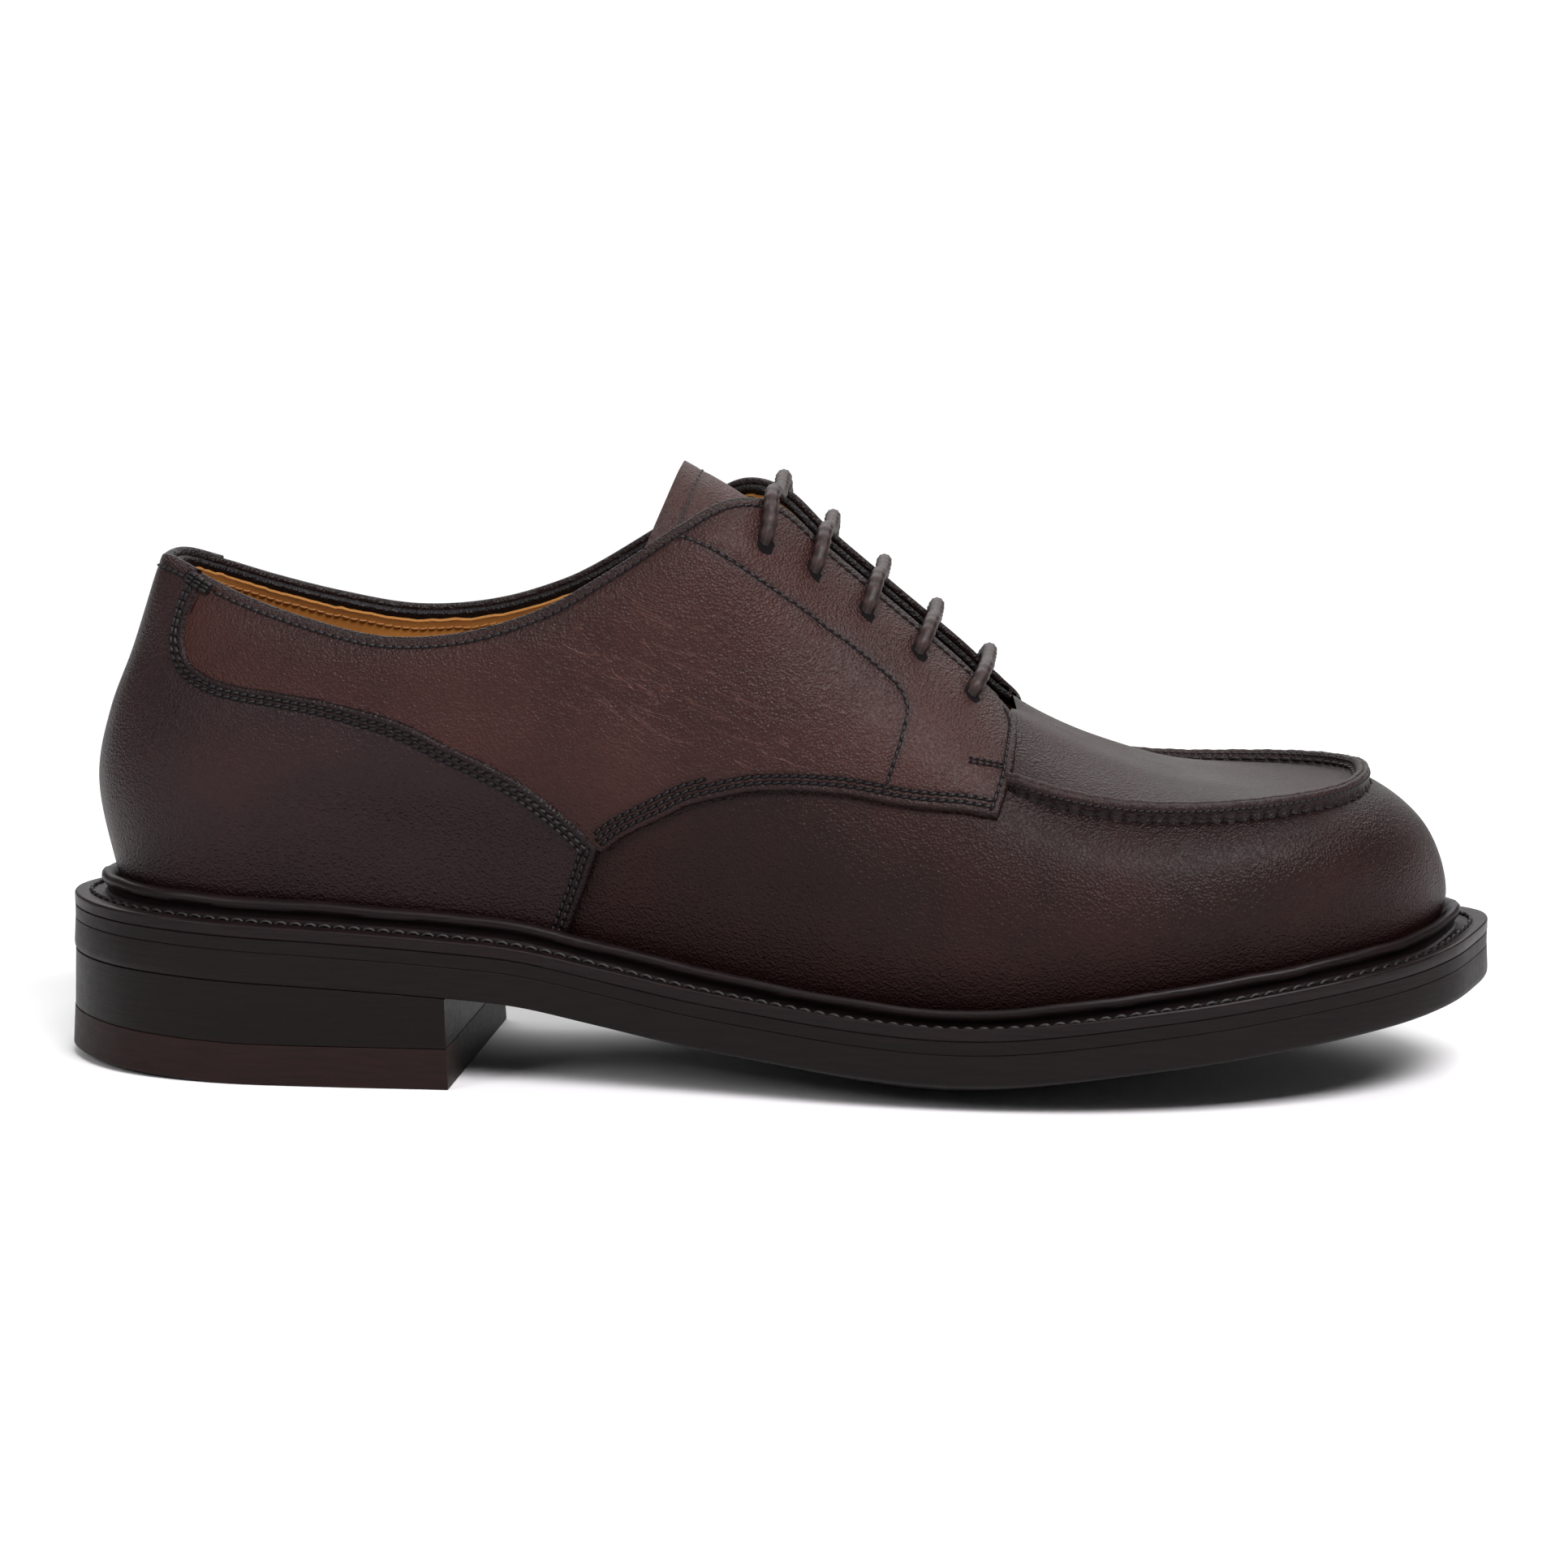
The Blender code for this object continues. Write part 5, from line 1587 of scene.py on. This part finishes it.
def waxed_edge(name, deep, worn, roughness):
    """Sole edge, dyed, ironed and waxed: dark, low gloss, with fine marks along it."""
    material, tree, shader = new_material(name, Specular_IOR_Level=0.13)
    place = add_node(tree, "ShaderNodeTexCoord").outputs["Object"]
    sizes = (per_metre(SCRATCH_RUN), per_metre(SCRATCH_RUN), per_metre(SCRATCH_GAP))
    drawn = add_node(tree, "ShaderNodeMapping", {"Vector": place, "Scale": sizes})
    marks = add_node(
        tree, "ShaderNodeTexNoise",
        {"Vector": drawn.outputs["Vector"], "Scale": 1.0, "Detail": 4.0, "Roughness": 0.6},
    ).outputs["Fac"]
    fleck = add_node(
        tree, "ShaderNodeTexNoise",
        {"Vector": place, "Scale": per_metre(WAX_FLECK), "Detail": 4.0, "Roughness": 0.7},
    )
    share = add_node(tree, "ShaderNodeMapRange", {"Value": marks, "From Min": 0.35, "From Max": 0.75})
    gloss = add_node(
        tree, "ShaderNodeMapRange",
        {"Value": fleck.outputs["Fac"], "To Min": roughness - 0.08, "To Max": roughness + 0.12},
    )
    tree.links.new(gloss.outputs["Result"], shader.inputs["Roughness"])
    two_tone(tree, shader, share.outputs["Result"], deep, worn, marks, 0.25, 0.0003)
    return material


def waxed_cord(name, deep, worn, roughness):
    """Waxed cotton: braided strands under wax, with painted shade in the valleys and painted highlight on the
    tops.
    """
    material, tree, shader = new_material(name, Specular_IOR_Level=0.22, Roughness=roughness)
    place = add_node(tree, "ShaderNodeTexCoord").outputs["Object"]
    weave = add_node(tree, "ShaderNodeAttribute", attribute_name="weave")
    fleck = add_node(
        tree, "ShaderNodeTexNoise",
        {"Vector": place, "Scale": per_metre(STRAND_FLECK), "Detail": 4.0, "Roughness": 0.7},
    ).outputs["Fac"]
    share = add_node(
        tree, "ShaderNodeMath", {0: weave.outputs["Fac"], 1: fleck}, operation="MULTIPLY", use_clamp=True
    )
    two_tone(tree, shader, share.outputs["Value"], deep, worn, fleck, 0.3, 0.0003)
    return material


def plain_dark(name, colour, roughness):
    """The inside of a hole, which catches next to no light."""
    material, _, shader = new_material(name, Roughness=roughness, Specular_IOR_Level=0.1)
    shader.inputs["Base Color"].default_value = linear(colour)
    return material


def floor_paper(name, colour):
    """Seamless paper: matt and even."""
    material, _, shader = new_material(name, Roughness=0.9, Specular_IOR_Level=0.1)
    shader.inputs["Base Color"].default_value = linear(colour)
    return material


# Studio

def build_floor():
    """A pale sweep: flat under the shoe and curved up far behind it."""
    profile = [(-4.0, 0.0), (4.0, 0.0)]
    for n in range(1, 13):
        turn = n / 12 * math.pi / 2
        profile.append((4.0 + 3.0 * math.sin(turn), 3.0 * (1 - math.cos(turn))))
    profile.append((7.0, 8.0))
    mesh = bpy.data.meshes.new("floor")
    points = [(x, y, z) for y, z in profile for x in (-8.0, 8.0)]
    faces = [(2 * n, 2 * n + 1, 2 * n + 3, 2 * n + 2) for n in range(len(profile) - 1)]
    mesh.from_pydata(points, [], faces)
    mesh.shade_smooth()
    mesh.materials.append(floor_paper("seamless paper", "#D8D8D8"))
    floor = bpy.data.objects.new("floor", mesh)
    bpy.context.scene.collection.objects.link(floor)


# Area lights: place and target in metres, size in metres, watts, colour.
MIDDLE = (0.09, 0.0, 0.05)
LIGHTS = {
    "back bank": ((0.1, 3.4, 2.6), (0.1, 3.2, 0.0), (6.0, 4.4), 235.0, (1.0, 1.0, 1.0)),
    "overhead box": ((0.06, 0.25, 1.25), MIDDLE, (1.3, 0.7), 4.0, (1.0, 1.0, 1.0)),
    "toe box": ((0.58, -0.80, 1.10), (0.15, 0.0, 0.05), (1.1, 0.45), 36.0, (1.0, 0.975, 1.0)),
    "heel box": ((-0.90, -0.95, 0.85), MIDDLE, (0.6, 0.6), 9.0, (1.0, 0.98, 1.0)),
}
ROOM_STRENGTH = 0.13


def build_lights():
    """A wide bank behind and above, boxes over the shoe and before its ends, and a dim room."""
    for name, (location, target, size, power, colour) in LIGHTS.items():
        light = bpy.data.lights.new(name, "AREA")
        light.shape = "RECTANGLE"
        light.size, light.size_y = size
        light.energy = power
        light.color = colour
        lamp = bpy.data.objects.new(name, light)
        lamp.location = location
        aim = Vector(target) - Vector(location)
        lamp.rotation_euler = aim.to_track_quat("-Z", "Y").to_euler()
        bpy.context.scene.collection.objects.link(lamp)
    world = bpy.data.worlds.new("room")
    world.use_nodes = True
    background = world.node_tree.nodes["Background"]
    background.inputs["Color"].default_value = (1.0, 1.0, 1.0, 1.0)
    background.inputs["Strength"].default_value = ROOM_STRENGTH
    bpy.context.scene.world = world
    bpy.context.scene.view_settings.view_transform = "Standard"


# Camera, solved from the sole's outline, the heel and the collar of the photograph
CAMERA_PLACE = (221.47, -1000.0, 226.90)
CAMERA_YAW = -0.0698
CAMERA_PITCH = 0.1658
CAMERA_ROLL = 0.0026
CAMERA_LENS = 110.66


def build_camera():
    yaw, pitch, roll = CAMERA_YAW, CAMERA_PITCH, CAMERA_ROLL
    ahead = Vector((math.cos(pitch) * math.sin(yaw), math.cos(pitch) * math.cos(yaw), -math.sin(pitch)))
    right = Vector((math.cos(yaw), -math.sin(yaw), 0.0))
    up = right.cross(ahead)
    x_axis = right * math.cos(roll) + up * math.sin(roll)
    y_axis = up * math.cos(roll) - right * math.sin(roll)
    lens = bpy.data.cameras.new("camera")
    lens.lens = CAMERA_LENS
    lens.sensor_width = 36.0
    lens.clip_end = 60.0
    camera = bpy.data.objects.new("camera", lens)
    turn = Matrix((x_axis, y_axis, -ahead)).transposed()
    place = (Vector(CAMERA_PLACE) - Vector((HEEL_REST, 0.0, 0.0))) * MM
    camera.matrix_world = Matrix.Translation(place) @ turn.to_4x4()
    bpy.context.scene.collection.objects.link(camera)
    bpy.context.scene.camera = camera


def main():
    build_camera()
    build_lights()
    build_floor()
    skin = Skin()
    rows = {side: sewing_lines(skin, side) for side in (-1, 1)}
    vamp = burnished_calf("burnished vamp calf", "#170B09", "#200F0D", "#080405", specular=0.13)
    quarter = burnished_calf("burnished quarter calf", "#26120F", "#301814", "#0A0606", creased=0.55)
    counter = burnished_calf("burnished counter calf", "#1B0E0F", "#241212", "#090506")
    seam = burnished_calf("burnished seam calf", "#1E1212", "#271715", "#0B0708", roughness=0.46)
    tongue = burnished_calf("soft tongue calf", "#2A1714", "#361E19", "#0F0808", roughness=0.42)
    inside = burnished_calf("folded edge calf", "#120B0C", "#180F10", "#0B0708", roughness=0.4)
    lining = tan_lining("tan lining calf", "#7C4C1C", "#996426", roughness=0.5)
    raw = raw_cut_edge("cut tan edge", "#744A20", "#9C6C34")
    raw_dark = raw_cut_edge("cut brown edge", "#3C2217", "#5E3A27")
    edge = waxed_edge("waxed welt edge", "#0E0809", "#191011", roughness=0.38)
    middle = waxed_edge("waxed midsole edge", "#0A0606", "#110A0A", roughness=0.46)
    rubber = waxed_edge("moulded sole rubber", "#0B0707", "#120B0B", roughness=0.46)
    stack = waxed_edge("waxed heel stack", "#0A0606", "#100908", roughness=0.42)
    lift = waxed_edge("brown lift rubber", "#160C0A", "#20120F", roughness=0.52)
    thread = waxed_cord("waxed sewing thread", "#0E0809", "#2A1C1B", roughness=0.5)
    tan_thread = waxed_cord("tan sewing thread", "#7C5228", "#A8763F", roughness=0.6)
    cord = waxed_cord("waxed cotton cord", "#140E0D", "#422F2B", roughness=0.46)
    dark = plain_dark("awl hole", "#060405", roughness=0.9)
    build_upper(skin, vamp, inside)
    build_quarters(skin, rows, quarter)
    build_counter(skin, rows, counter)
    build_rim(skin, seam)
    build_stitches(skin, rows, thread, dark)
    build_lining(skin, lining, raw, tan_thread)
    build_tongue(tongue, lining, raw_dark, thread, dark)
    build_laces(skin, cord)
    build_eyelets(skin, dark)
    build_welt(edge, thread, dark)
    build_midsole(middle)
    build_outsole(rubber)
    build_heel(stack, lift)
    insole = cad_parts["insole"]
    insole.data.materials.clear()
    insole.data.materials.append(lining)


main()
